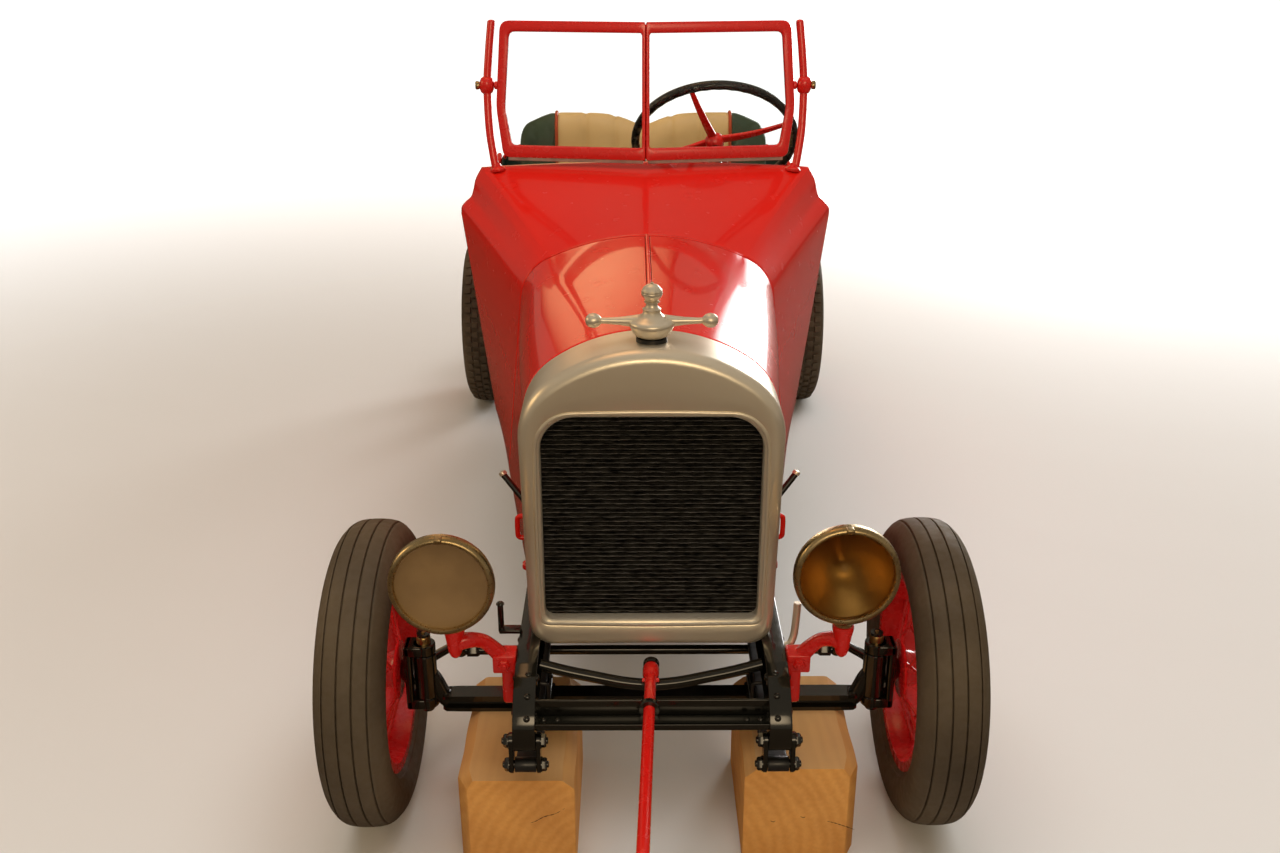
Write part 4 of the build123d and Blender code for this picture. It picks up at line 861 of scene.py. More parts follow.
stations = np.linspace(1.2, 608.4, 90)
shape = coach_points(stations, FRONT_ROWS)
middle = shape.shape[1] // 2
for label, side, half in (("left", -1, shape[:, :middle + 1].copy()),
                          ("right", 1, shape[:, middle:].copy())):
    half[..., 0] = np.where(np.abs(half[..., 0]) < HINGE_HALF, side * HINGE_HALF, half[..., 0])
    body = "bonnet_" + label + "_half"
    sheet_panel("bonnet_panel_" + label, half, body, ["bonnet_" + label], (0.3, 0.6), BONNET_SHEET)
    # the D handle stands off the side on two feet
    face = side * 0.5 * (205.0 + 211.0)
    loop = [(face + side * out, 46.0, 530.0 + up) for out, up in (
        (0, -21), (15, -21), (21, -19), (23, -13), (23, 13), (21, 19), (15, 21), (0, 21))]
    fittings = [carried(flowing(loop, 48), round_outline(4.4, 12))]
    for height in (509.0, 551.0):
        fittings.append(turned([(0, 0), (8.5, 0), (8.5, 2), (6, 4), (0, 4)],
                               (face - side * 1.0, 46.0, height), (side, 0, 0), 18))
    piece("bonnet_handle_" + label, fittings, coach_red, body)
    # the sprung catch below it hooks on the rail
    catch_face = side * 207.0
    catch = [slab((catch_face + side * 4.0, 50.0, 452.0), (10.0, 20.0, 40.0), 3.0),
             turned([(0, 0), (8, 0), (9, 2), (9, 6), (6, 10), (0, 10)],
                    (catch_face + side * 8.0, 50.0, 452.0), (side, 0, 0), 20)]
    piece("bonnet_catch_" + label, catch, red_enamel, body)
    # a short black stay beside it ends in a bright tip
    stay = [(side * 218.0, 116.0, 538.0), (side * 240.0, 130.0, 561.0), (side * 262.0, 144.0, 584.0)]
    piece("bonnet_stay_" + label, [carried(flowing(stay, 24), round_outline(5.8, 12))], black_enamel, body)
    tip = turned([(0, 0), (6.4, 0), (7.2, 3), (6.4, 7), (0, 9)], stay[-1], (side * 0.5, 0.3, 0.8), 16)
    piece("bonnet_stay_tip_" + label, [tip], nickel, body)
bead_line = np.stack([np.zeros(60), np.linspace(1.5, 608.0, 60), np.full(60, 904.0)], -1)
piece("bonnet_bead", [carried(bead_line, round_outline(4.6, 14))], coach_red, "chassis",
      ["bonnet_hinge"])

# Scuttle: one beaten steel panel that swells from the bonnet joint into a hollow flare under
# the windscreen, with a flat strip over the joint; it is welded to the tub's sides.
# x and height of the flare's turning points at the screen: foot, shoulder, six of its curve, top
FLARE = np.array([(372.0, 368.0), (431.0, 862.0), (429.0, 878.0), (419.0, 890.0), (406.0, 902.0),
                  (400.0, 918.0), (393.0, 944.0), (378.0, 970.0), (0.0, 982.0)])
FLARE_START = 610.0
SCREEN_LINE = 1000.0


def arch_turns(row):
    """Turning points of a section: foot, shoulder, six along the corner arc, crown."""
    wb, zb, w, zs, rc, zt = row
    lean = math.atan2(w - wb, zs - zb)
    cx, cz = w - rc * math.cos(lean), zs + rc * math.sin(lean)
    r = (rc**2 - cx**2 - (cz - zt)**2) / (2 * (cz - zt + rc))
    join = math.atan2(cz - zt + r, cx)
    a = -lean + (join + lean) * np.arange(1, 7) / 6
    arc = np.stack([cx + rc * np.cos(a), cz + rc * np.sin(a)], -1)
    return np.vstack([[(wb, zb), (w, zs)], arc, [(0.0, zt)]])


def flared(stations):
    """Scuttle sections: turns = plain*(1-s) + flare*s, joined by a line, a curve and a crown.

    The share s rises as 0.84t + 0.16t^2 over the panel's length; the crown is the circle
    through the last turn and the top.
    """
    t = (stations - FLARE_START) / (SCREEN_LINE - FLARE_START)
    s = (0.84 * t + 0.16 * t**2)[:, None, None]
    turns = arch_turns(FRONT_ROWS[2, 1:]) * (1 - s) + FLARE * s
    share = np.linspace(0, 1, 14)[:-1, None]
    side = turns[:, None, 0] * (1 - share) + turns[:, None, 1] * share
    curve = []
    for k in range(len(stations)):
        curve.append(flowing(turns[k, 1:8], 46)[:-1])
    edge = turns[:, 7]
    top = turns[:, 8, 1]
    sag = top - edge[:, 1]
    r = (edge[:, 0]**2 + sag**2) / (2 * sag)
    reach = np.arcsin(np.clip(edge[:, 0] / r, 0, 1))[:, None] * np.linspace(1, 0, 26)
    crown = np.stack([r[:, None] * np.sin(reach), (top - r)[:, None] + r[:, None] * np.cos(reach)], -1)
    half = np.concatenate([side, np.array(curve), crown], 1)
    return at_stations(np.concatenate([half * [-1, 1], half[:, -2::-1]], 1), stations)


stations = np.linspace(610.6, SCREEN_LINE - 0.5, 70)
sheet_panel("scuttle_panel", flared(stations), "chassis", ["scuttle"], (0.8, 0.6), BODY_SHEET, 50.0)
joint = coach_points(np.array([610.0]), FRONT_ROWS)[0]
joint = joint[np.abs(joint[:, 0]) < 200.0] + [0.0, 1.0, 0.0]
piece("scuttle_joint_strip", [carried(joint, square_outline(2.4, 9.0, 1.0))], coach_red, "chassis")

# Tub: the sides of the seat space, lower than the scuttle, their upper edge rolled over a
# wire; inside are a board floor, a steel firewall and dark green leathercloth linings.
TUB_ROWS = np.array([(1000.0, 372.0, 368.0, 431.0, 862.0, 40.0, 982.0),
                     (1300.0, 408.0, 360.0, 440.0, 866.0, 42.0, 940.0),
                     (1745.0, 384.0, 362.0, 416.0, 800.0, 80.0, 925.0)])
MOUTH = np.array([(940.0, 870.0), (1000.0, 862.0), (1060.0, 850.0), (1200.0, 800.0), (1380.0, 780.0),
                  (1560.0, 800.0), (1690.0, 846.0), (1745.0, 862.0)])
ROLL_R = 7.0
dark_leather = finish("green_leather", (0.008, 0.020, 0.013), (0.022, 0.042, 0.029), (0.32, 0.5),
                      scale=7.0, grain=420.0, bump=0.25)
floor_boards = finish("floor_boards", (0.05, 0.03, 0.02), (0.12, 0.075, 0.045), (0.5, 0.7), scale=8.0,
                      grain=90.0, bump=0.3, stretch=(6.0, 0.6, 1.0))


def side_wall(stations, rows, inset, side):
    """One side from its foot to the rolled edge, drawn in by an inset; x follows the lean."""
    at_rows = eased(stations, rows)
    edge = flowing(MOUTH[1:], 400)
    edge = np.interp(stations, edge[:, 0], edge[:, 1]) - inset * 0.5
    share = np.linspace(0, 1, 24)[None]
    z = at_rows[:, 1:2] + (edge[:, None] - at_rows[:, 1:2]) * share
    lean = (at_rows[:, 2:3] - at_rows[:, :1]) / (at_rows[:, 3:4] - at_rows[:, 1:2])
    x = at_rows[:, :1] + lean * (z - at_rows[:, 1:2]) - inset
    y = np.broadcast_to(stations[:, None], x.shape)
    return np.stack([side * x, y, z], -1)


stations = np.linspace(SCREEN_LINE + 0.3, 1744.5, 110)
rolls = []
linings = []
for label, side in (("left", -1), ("right", 1)):
    wall = side_wall(stations, TUB_ROWS, 0.0, side)
    sheet_panel("tub_side_" + label, wall, "chassis", ["body_tub"] if side < 0 else [],
                (1.35, 0.6), BODY_SHEET)
    rolls.append(carried(wall[3:, -1] - [side * ROLL_R, 0, ROLL_R * 0.4], round_outline(ROLL_R, 14)))
    linings.append(skin_of(side_wall(stations, TUB_ROWS, 15.0, side)))
piece("tub_roll", rolls, coach_red, "chassis")
lining = piece("tub_lining", linings, dark_leather, "chassis")
lining.modifiers.new("wall", "SOLIDIFY").thickness = 0.004
boards = [slab((x, 1340.0, 405.0), (128.0, 780.0, 10.0), 1.5) for x in np.arange(-260.0, 261.0, 130.0)]
boards.append(slab((0.0, 782.0, 405.0), (560.0, 330.0, 10.0), 1.5))
piece("tub_boards", boards, floor_boards, "chassis")
fire_line = section(FRONT_ROWS[2, 1:], (14, 14, 60)) * [0.985, 0.955] + [0.0, 34.0]
centre = np.array([0.0, 620.0])
rings = [np.insert(centre + (fire_line - centre) * share, 1, station, axis=1)
         for station, share in ((616.0, 0.02), (616.0, 0.5), (616.0, 1.0), (618.0, 1.0), (618.0, 0.5),
                                (618.0, 0.02))]
piece("tub_firewall", [skin_of(np.array(rings), around=True)], black_enamel, "chassis")

# Tail: a pointed stern behind the seat, closed by beaten panels that meet in an upright
# edge; a bulkhead stands behind the seat back.
TAIL_ROWS = np.array([(1745.0, 384.0, 362.0, 416.0, 800.0, 80.0, 925.0),
                      (2050.0, 285.0, 402.0, 330.0, 750.0, 110.0, 890.0),
                      (2300.0, 150.0, 452.0, 190.0, 680.0, 100.0, 800.0),
                      (2445.0, 34.0, 560.0, 52.0, 620.0, 36.0, 672.0)])
stations = np.linspace(1745.0, 2437.0, 110)
shape = coach_points(stations, TAIL_ROWS, (14, 14, 48))
# the stern closes onto the middle plane: x*s, with the station 8 sqrt(1-s^2) mm further back
share = np.cos(np.linspace(0, np.pi / 2, 9))[1:, None, None]
closing = shape[-1] * np.concatenate([share, 1 + 0 * share, 1 + 0 * share], -1)
closing = closing + np.sqrt(1 - share**2) * [0.0, 8.0, 0.0]
sheet_panel("tail_panel", np.concatenate([shape, closing]), "chassis", ["tail"], (1.9, 0.65),
            BODY_SHEET)
mouth_bead = carried(shape[0] + [0.0, 2.0, 1.5], round_outline(4.0, 10))
piece("tail_bead", [mouth_bead], coach_red, "chassis")
inner = shape[0] * [0.985, 1, 1] + [0, 6.0, -3.0]
heart = np.array([0.0, 1751.0, 640.0])
rings = np.stack([heart + (inner - heart) * s for s in (0.02, 0.5, 1.0)])
bulkhead = piece("tail_bulkhead", [skin_of(rings)], dark_leather, "chassis")
bulkhead.modifiers.new("wall", "SOLIDIFY").thickness = 0.005

# Windscreen: steel channel bent round each pane with rounded corners and painted red, the two
# halves meeting in a shallow vee; round posts on flared feet hold it between brass pivots,
# so the foot swings forward. A rubber strip seals the foot on the scuttle; its pale colour is a painted
# highlight along the joint.
SCREEN_BASE = np.array([0.0, 955.0, 992.0])
VEE = math.radians(8.0)
LEAN = math.radians(7.0)
SCREEN_H = 300.0
SCREEN_KINK = 110.0
SCREEN_HALF = (329.0, 343.0, 329.0)
PIVOT_D = 1022.0
PIVOT_Z = 1150.0
brass = finish("dull_brass", (0.46, 0.34, 0.17), (0.70, 0.56, 0.33), (0.22, 0.40), metallic=1.0,
               scale=14.0, grain=160.0, bump=0.1)
# painted highlight: the rubber strip is coloured pale to stand in for the bright highlight along the foot of
# the screen
rubber_painted_highlight = finish("rubber_painted_highlight", (0.30, 0.24, 0.20), (0.45, 0.38, 0.32), (0.5, 0.7), scale=30.0)


def rounded_loop(points, corners, steps=8):
    """A polygon whose corners are swept by quadratic arcs starting a given way from each point."""
    p = np.asarray(points, float)
    before = np.roll(p, 1, axis=0) - p
    after = np.roll(p, -1, axis=0) - p
    reach = np.asarray(corners, float)[:, None]
    start = p + before / np.linalg.norm(before, axis=1)[:, None] * reach
    end = p + after / np.linalg.norm(after, axis=1)[:, None] * reach
    t = np.linspace(0, 1, steps)[None, :, None]
    return ((1 - t)**2 * start[:, None] + 2 * t * (1 - t) * p[:, None] + t**2 * end[:, None]).reshape(-1, 2)


def on_screen(flat, out, side):
    """Lay flat screen points in one half's plane: base + u*across + v*up + out*forward."""
    across = np.array([side * math.cos(VEE), math.sin(VEE), 0.0])
    ahead = np.array([side * math.sin(VEE) * math.cos(LEAN), -math.cos(VEE) * math.cos(LEAN),
                      math.sin(LEAN)])
    up = np.array([-side * math.sin(VEE) * math.sin(LEAN), math.cos(VEE) * math.sin(LEAN),
                   math.cos(LEAN)])
    u = flat[..., :1] + flat[..., 1:] * math.tan(VEE) * math.sin(LEAN)
    return SCREEN_BASE + u * across + flat[..., 1:] * up + out[..., None] * ahead


low, kinked, high = SCREEN_HALF
frame_loop = rounded_loop([(0.2, 0.3), (low, 0.3), (kinked, SCREEN_KINK), (high, SCREEN_H - 0.3),
                           (0.2, SCREEN_H - 0.3)], (3, 16, 20, 22, 3))
pane_loop = rounded_loop([(8.0, 28.0), (low - 20.0, 28.0), (kinked - 20.0, SCREEN_KINK),
                          (high - 20.0, SCREEN_H - 24.0), (8.0, SCREEN_H - 24.0)], (3, 9, 14, 12, 3))
outer_loop = closed_outline(frame_loop, 1500)
inner_loop = closed_outline(pane_loop, 1500)
PANE_MIDDLE = (165.0, 150.0)
LOOP_POINTS = 220
outer_loop = same_start(outer_loop, PANE_MIDDLE, LOOP_POINTS)
inner_loop = same_start(inner_loop, PANE_MIDDLE, LOOP_POINTS)
# share of the way from the outer loop to the inner one, and the point's distance from mid plane
FRAME_SECTION = ((0.0, -3.5), (0.05, -5.6), (0.2, -6.5), (0.78, -6.5), (0.93, -5.6), (1.0, -3.4),
                 (1.0, 3.4), (0.93, 5.6), (0.78, 6.5), (0.2, 6.5), (0.05, 5.6), (0.0, 3.5))
frames = []
strips = []
for side in (-1, 1):
    rings = [on_screen(outer_loop + (inner_loop - outer_loop) * share, np.full(LOOP_POINTS, -depth), side)
             for share, depth in FRAME_SECTION]
    frames.append(skin_of(np.array(rings), around=True, along=True))
    foot = on_screen(np.stack([np.linspace(6.0, 318.0, 30), np.full(30, -2.4)], -1), np.zeros(30), side)
    strips.append(carried(foot, square_outline(5.0, 9.0, 1.8)))
    stub = (side * 336.0, PIVOT_D, PIVOT_Z)
    frames.append(turned([(0, 0), (9, 0), (9, 5), (7, 7), (0, 7)], stub, (side, 0, 0), 20))
piece("screen_frame", frames, red_enamel, "windscreen", ["windscreen_frame"], 40.0)
piece("screen_strip", strips, rubber_painted_highlight, "windscreen", [], 40.0)


def glazing(name, low, high, rough, scale, index):
    """A finish that lets light through, bent by a refractive index."""
    material = finish(name, low, high, rough, scale=scale, bump=0.0)
    sockets = material.node_tree.nodes["Principled BSDF"].inputs
    sockets["Transmission Weight"].default_value = 1.0
    sockets["IOR"].default_value = index
    return material


dress(glazing("pane_glass", (0.93, 0.97, 0.95), (0.96, 0.99, 0.97), (0.0, 0.03), 9.0, 1.03),
      "windscreen_glass")
post_way = [(341.0, 982.0, 955.0), (349.0, 992.0, 1000.0), (357.0, 1006.0, 1060.0),
            (359.0, 1022.0, 1150.0), (353.0, 1032.0, 1225.0), (346.0, 1041.0, 1286.0)]
posts = []
fixings = []
for side in (-1, 1):
    line = flowing([(side * x, y, z) for x, y, z in post_way], 50)
    posts.append(carried(line, round_outline(9.0, 20)))
    posts.append(turned([(0, -19), (9, -18.5), (13.5, -15), (16, -8), (16.6, 0), (16, 8), (13.5, 15),
                         (9, 18.5), (0, 19)], (side * 360.0, PIVOT_D, PIVOT_Z), (0.05, 0, 1), 28))
    posts.append(turned([(0, -6), (17, -6), (18.5, -4), (18.5, 0), (15, 4), (9.5, 7), (7.6, 14), (0, 14)],
                        (side * 338.5, 983.0, 967.0), (side * 0.15, 0.2, 1), 28))
    for way in (-1, 1):
        fixings.append(rivet((side * 338.5 + way * 13.0, 983.0, 967.5), (side * 0.15, 0.2, 1), 3.6, 4.0))
    posts.append(turned([(0, 0), (9.1, 0), (8, 2.4), (5, 4.2), (0, 5)], (side * 346.0, 1041.0, 1286.0),
                        (0, 0.14, 1), 20))
    stud = [(0, 10), (8, 10), (8.4, 15), (5.6, 16), (5.6, 20), (8.6, 21), (9.4, 24), (9.4, 28),
            (8.2, 29.5), (0, 30)]
    fixings.append(turned(stud, (side * 356.0, PIVOT_D, PIVOT_Z), (side, 0, 0), 26))
piece("screen_posts", posts, red_enamel, "chassis", ["windscreen_posts"], 40.0)
piece("screen_fixings", fixings, brass, "chassis", [], 40.0)

# Steering and dashboard: a dark moulded rim with finger ridges on a red four-arm spider, on a
# raked black column with its box on the frame; the dashboard is varnished board.
RAKE = math.radians(40.0)
WHEEL_HUB = np.array([174.0, 1250.0, 986.0])
GRIP_R = 197.0
rim_black = finish("rim_black", (0.006, 0.006, 0.006), (0.022, 0.019, 0.016), (0.22, 0.42),
                   grain=120.0, coat=0.3)
axis, wheel_u, wheel_v = frame_of((0, math.cos(RAKE), math.sin(RAKE)))
t = np.linspace(0, 2 * np.pi, 200, endpoint=False)[:, None]
s = np.linspace(0, 2 * np.pi, 18, endpoint=False)[None]
ridge = 1.0 + 0.08 * np.cos(t * 40) * np.maximum(0, -np.sin(s - 0.4))
radial = np.cos(t)[..., None] * wheel_u + np.sin(t)[..., None] * wheel_v
grid = (WHEEL_HUB + radial * (GRIP_R + 10.4 * ridge * np.cos(s))[..., None]
        + axis * (11.6 * ridge * np.sin(s))[..., None])
piece("wheel_grip", [skin_of(grid, around=True, along=True)], rim_black, "steering",
      ["steering_wheel"])
spider = [turned([(0, -24), (13, -24), (20, -18), (23, -10), (24, 2), (21, 8), (15, 10), (0, 10)],
                 WHEEL_HUB, axis, 40)]
for k in range(4):
    a = math.radians(90 * k - 20)
    way = wheel_u * math.cos(a) + wheel_v * math.sin(a)
    reach = np.linspace(12.0, GRIP_R - 4.0, 24)
    line = WHEEL_HUB + way * reach[:, None] + axis * (-7.0 * np.sin(np.linspace(0, np.pi, 24)))[:, None]
    spider.append(carried(line, square_outline(13.0, 7.0, 3.0), 1.8 - 0.9 * reach / GRIP_R, axis))
piece("wheel_spider", spider, red_enamel, "steering")
cap = [(0, 8), (16, 8), (16.5, 10), (13, 13), (8, 14), (7.4, 17), (0, 17.6)]
piece("wheel_cap", [turned(cap, WHEEL_HUB, axis, 32)], brass, "steering", [], 45.0)
dress(black_enamel, "steering_column")
varnish = finish("dash_varnish", (0.09, 0.03, 0.012), (0.2, 0.08, 0.03), (0.15, 0.3), scale=5.0,
                 grain=60.0, coat=0.8, stretch=(1.0, 1.0, 7.0))
dress(varnish, "dashboard")

# Seats: a bench cushion and a two-hump back over springs and horsehair, tan leather sewn in
# upright pleats about eighty millimetres wide, dark green outer wings, orange-red piping.
PLEATS = (-243.0, -161.0, -80.0, 0.0, 80.0, 161.0, 243.0)
PIPING_X = 243.0
SEAT_HALF = 346.0
VOXEL = 0.0075
SEAM_DEPTH = 0.0045
SEAM_WIDTH = 4.5
SEWN_WIDTH = 4.2
SWELL = 0.024
leather = finish("seat_leather", (0.62, 0.385, 0.145), (0.74, 0.48, 0.20), (0.36, 0.55), scale=7.0,
                 grain=420.0, bump=0.25)
tree = leather.node_tree
shader = tree.nodes["Principled BSDF"]
tan = shader.inputs["Base Color"].links[0].from_socket
place = add(tree, "TexCoord").outputs["Object"]
across = add(tree, "SeparateXYZ", Vector=place).outputs["X"]
wing = maths(tree, "GREATER_THAN", maths(tree, "ABSOLUTE", across), PIPING_X * 0.001)
green = two_colours(tree, add(tree, "TexNoise", Vector=place, Scale=7.0, Detail=5.0).outputs["Fac"],
                    (0.026, 0.042, 0.022), (0.046, 0.066, 0.034))
hide = add(tree, "MixRGB", Fac=wing, Color1=tan, Color2=green)
tree.links.new(hide.outputs["Color"], shader.inputs["Base Color"])
piping_red = finish("piping_leather", (0.42, 0.055, 0.014), (0.56, 0.085, 0.022), (0.35, 0.5),
                    scale=9.0, grain=420.0, bump=0.2)
# the outline of each pad seen from the side: station and height, then its corner radii
BACK_SIDE = (((1607, 416), (1700, 416), (1724, 955), (1708, 988), (1681, 988), (1658, 955)),
             (12, 12, 16, 12, 12, 16))
CUSHION_SIDE = (((1300, 416), (1592, 416), (1592, 540), (1568, 549), (1336, 549), (1300, 516)),
                (10, 10, 10, 14, 16, 18))


def pad_grid(side_view, spine_d, spine_z, rise):
    """A pad carried across the car: p = spine + (p0 - spine)*s with s = sqrt(1-e^2) at its ends."""
    loop = closed_outline(rounded_loop(*side_view), 110)
    spine = np.stack([np.clip(loop[:, 0], *spine_d), np.clip(loop[:, 1], *spine_z)], -1)
    x = np.concatenate([-SEAT_HALF + 24 * (1 - np.cos(np.linspace(0, np.pi / 2, 8))),
                        np.linspace(-310, 310, 80),
                        SEAT_HALF - 24 * (1 - np.cos(np.linspace(np.pi / 2, 0, 8)))])
    past = np.clip((np.abs(x) - SEAT_HALF + 24) / 24.5, 0, 1)
    s = np.sqrt(np.clip(1 - past**2, 0, 1))[:, None, None]
    flat = spine + (loop - spine) * s
    up = flat[..., 1] + rise(x)[:, None] * np.clip((flat[..., 1] - 700) / 290, 0, 1)
    grid = np.stack([np.broadcast_to(x[:, None], up.shape), flat[..., 0], up], -1)
    return shut(grid)


def back_rise(x):
    """Height added to the back's top: -36 exp(-(x/62)^1.5) between the humps, falling at the wings."""
    t = np.clip((np.abs(x) - 240) / 130, 0, 1)
    return -36 * np.exp(-(np.abs(x) / 62.0)**1.5) - 40 * t * t * (3 - 2 * t)


def read_vectors(mesh, kind):
    """The points or the normals of a mesh, a row for each vertex."""
    values = np.zeros(len(mesh.vertices) * 3)
    mesh.vertices.foreach_get(kind, values)
    return values.reshape(-1, 3)


def stuffed(made, held, cap):
    """Swell a pad as cloth under pressure without gravity, sewn down where held(points) is true.

    No point may end more than the cap, in metres, from where the even mesh began.
    """
    bpy.context.view_layer.objects.active = made
    even = made.modifiers.new("even", "REMESH")
    even.mode = "VOXEL"
    even.voxel_size = VOXEL
    bpy.ops.object.modifier_apply(modifier="even")
    start = read_vectors(made.data, "co")
    points = (start - [0.0, axle_y, 0.0]) * 1000.0
    sewn = made.vertex_groups.new(name="sewn")
    sewn.add(np.flatnonzero(held(points)).tolist(), 1.0, "REPLACE")
    cloth = made.modifiers.new("cloth", "CLOTH")
    cloth.settings.vertex_group_mass = "sewn"
    cloth.settings.use_pressure = True
    cloth.settings.uniform_pressure_force = 4.0
    cloth.settings.quality = 4
    cloth.settings.tension_stiffness = 12.0
    cloth.settings.bending_stiffness = 0.6
    cloth.settings.effector_weights.gravity = 0.0
    for step in range(1, 21):
        scene.frame_set(step)
    bpy.ops.object.modifier_apply(modifier="cloth")
    move = read_vectors(made.data, "co") - start
    length = np.linalg.norm(move, axis=1)[:, None]
    move = move * np.minimum(1.0, cap / np.maximum(length, 1e-9))
    made.data.vertices.foreach_set("co", (start + move).ravel())
    scene.frame_set(1)
    # the seams are drawn in: a channel 4.5 exp(-(dx/4.5)^2) mm deep along each pleat line
    settled = read_vectors(made.data, "co")
    apart = np.abs(settled[:, :1] * 1000.0 - np.array(PLEATS)).min(axis=1)
    settled -= read_vectors(made.data, "normal") * (SEAM_DEPTH * np.exp(-(apart / SEAM_WIDTH)**2))[:, None]
    made.data.vertices.foreach_set("co", settled.ravel())
    made.data.polygons.foreach_set("use_smooth", np.ones(len(made.data.polygons), bool))
    soft = made.modifiers.new("soft", "SUBSURF")
    soft.levels = 1
    soft.render_levels = 1


def seams(points):
    """Which points are sewn: those that lie close to one of the pleat lines."""
    return (np.abs(points[:, :1] - np.array(PLEATS)) < SEWN_WIDTH).any(axis=1)


def no_rise(x):
    """The cushion's top stays level."""
    return 0 * x


# solid, side view, spine's stations and heights, rise, sewn down behind and below
PADS = (("seat_back", BACK_SIDE, (1640, 1696), (446, 940), back_rise, 1690.0, 440.0),
        ("seat_cushion", CUSHION_SIDE, (1342, 1550), (450, 500), no_rise, 1580.0, 432.0))
for solid, side_view, spine_d, spine_z, rise, behind, below in PADS:
    pad = piece(solid + "_pad", [skin_of(pad_grid(side_view, spine_d, spine_z, rise), around=True)],
                leather, "chassis", [solid], 80.0)
    stuffed(pad, lambda p: seams(p) | (p[:, 1] > behind) | (p[:, 2] < below), SWELL)
cords = []
for x in (-PIPING_X, PIPING_X):
    # side view, rise, and the height above which and the station before which the cord shows
    for side_view, rise, lowest, rearmost in ((BACK_SIDE, back_rise, 560.0, 1712.0),
                                              (CUSHION_SIDE, no_rise, 430.0, 1588.0)):
        loop = closed_outline(rounded_loop(*side_view), 160)
        keep = (loop[:, 1] > lowest) & (loop[:, 0] < rearmost)
        start = np.flatnonzero(keep & ~np.roll(keep, 1))[0]
        line = np.roll(loop, -start, axis=0)[:keep.sum()]
        up = line[:, 1] + rise(np.array([x])) * np.clip((line[:, 1] - 700) / 290, 0, 1)
        cords.append(carried(np.stack([np.full(len(line), x), line[:, 0], up], -1), round_outline(4.6, 10)))
piece("seat_piping", cords, piping_red, "chassis")

# Headlamps: spun brass bowls dulled by age, each with a rolled rim, its foot on a stem. The
# left glass is frosted tan; the right one is dull glass over a gilt reflector.
# side, centre across and up, foot across
LAMPS = ((-1, -326.0, 561.0, -316.0), (1, 300.0, 576.0, 306.0))
LAMP_STATION = -205.0
FOOT_STATION = -178.0
tilt = math.radians(4.0)
lamp_ahead = np.array([0.0, -math.cos(tilt), math.sin(tilt)])
gilt = finish("gilt_reflector", (0.42, 0.27, 0.10), (0.56, 0.37, 0.15), (0.3, 0.42), metallic=1.0,
              scale=5.0, grain=40.0, bump=0.0)
frosted = finish("frosted_glass", (0.19, 0.108, 0.038), (0.33, 0.20, 0.075), (0.3, 0.45), scale=7.0,
                 grain=300.0, bump=0.06, coat=0.35)
dull = glazing("dull_glass", (0.80, 0.70, 0.52), (0.88, 0.78, 0.60), (0.34, 0.42), 14.0, 1.12)
a = np.linspace(0.1, 1, 14)
BOWL = [(0, -127), (10, -126), (20, -121), (28, -114), (34, -103)]
BOWL += list(zip(36 + 42 * a - 3 * a * (1 - a), -92 + 84 * a))
BOWL += [(79, -6), (80, -6), (82.2, -4), (83, 0), (83, 5), (82.6, 9), (81.2, 12.6), (78.6, 15),
         (76, 15.8), (74, 15.4), (73, 13.8), (72.4, 11), (72.2, 2)]
hollow = np.linspace(72.2, 9.0, 14)
DISH = list(zip(hollow, 2 - 60 * (1 - (hollow / 72.2)**2))) + [(9, -50), (6, -44), (0, -42)]
dome = np.linspace(0, 1, 14)
LENS = np.concatenate([np.stack([73 * dome, 13.5 - 4.5 * dome**2], -1), [[72.5, 6.5]],
                       np.stack([73 * dome, 10.5 - 4.5 * dome**2], -1)[-2::-1]])
BULB = [(0, -14), (4, -15), (7, -18), (8.5, -23), (8, -29), (6, -35), (5, -38), (5, -46), (0, -46)]
for (side, x, z, foot_x), label, glass in zip(LAMPS, ("left", "right"), (frosted, dull)):
    centre = (x, LAMP_STATION, z)
    parts = [turned(BOWL, centre, lamp_ahead, 72),
             turned([(0, 470), (15, 470), (15, 474), (9.5, 478), (8, 484), (8, z - 66), (0, z - 66)],
                    (foot_x, FOOT_STATION, 0), (0, 0, 1), 28)]
    clip = np.array(centre) + lamp_ahead * 8.0 + [0, 0, 84.0]
    parts.append(slab(clip - [0, 0, 5.0], (12.0, 14.0, 8.0), 2.0))
    piece("lamp_bowl_" + label, parts, brass, "chassis", ["headlamps"] if side < 0 else [])
    piece("lamp_dish_" + label, [turned(DISH, centre, lamp_ahead, 72)], gilt, "chassis")
    piece("lamp_lens_" + label, [turned(LENS, centre, lamp_ahead, 72)], glass, "chassis",
          ["headlamp_lenses"] if side < 0 else [])
    piece("lamp_bulb_" + label, [turned(BULB, centre, lamp_ahead, 24)], frosted, "chassis")

# Lamp brackets: forged red arms from a cube on each horn, curving up and over to a flared
# boss that the lamp's stem is screwed into.
arms = []
for side, *_, foot_x in LAMPS:
    arms.append(slab((side * 240.0, -150.0, 387.5), (38.0, 36.0, 33.0), 3.0))
    arms.append(slab((side * 234.5, -150.0, 340.0), (23.0, 24.0, 66.0), 7.0))
    arms.append(hex_nut((side * 240.0, -168.0, 388.0), (0, -1, 0), 17.0, 7.0))
    path = flowing([(side * 243.0, -150.0, 390.0), (side * 257.0, -154.0, 410.0),
                    (side * 273.0, -161.0, 429.0), (side * 292.0, -171.0, 438.0),
                    (foot_x, FOOT_STATION, 437.0)], 40)
    arms.append(carried(path, square_outline(24.0, 23.0, 9.0),
                        1.0 + 0.08 * np.cos(np.linspace(0, 2 * np.pi, 40))))
    arms.append(turned([(0, 410), (5, 411), (8.5, 415), (11, 422), (12.5, 430), (13.5, 440), (15, 451),
                        (17, 460), (17.5, 464), (17, 469), (15.6, 470), (0, 470)],
                       (foot_x, FOOT_STATION, 0), (0, 0, 1), 32))
piece("bracket_arms", arms, red_enamel, "chassis", ["lamp_brackets"], 45.0)
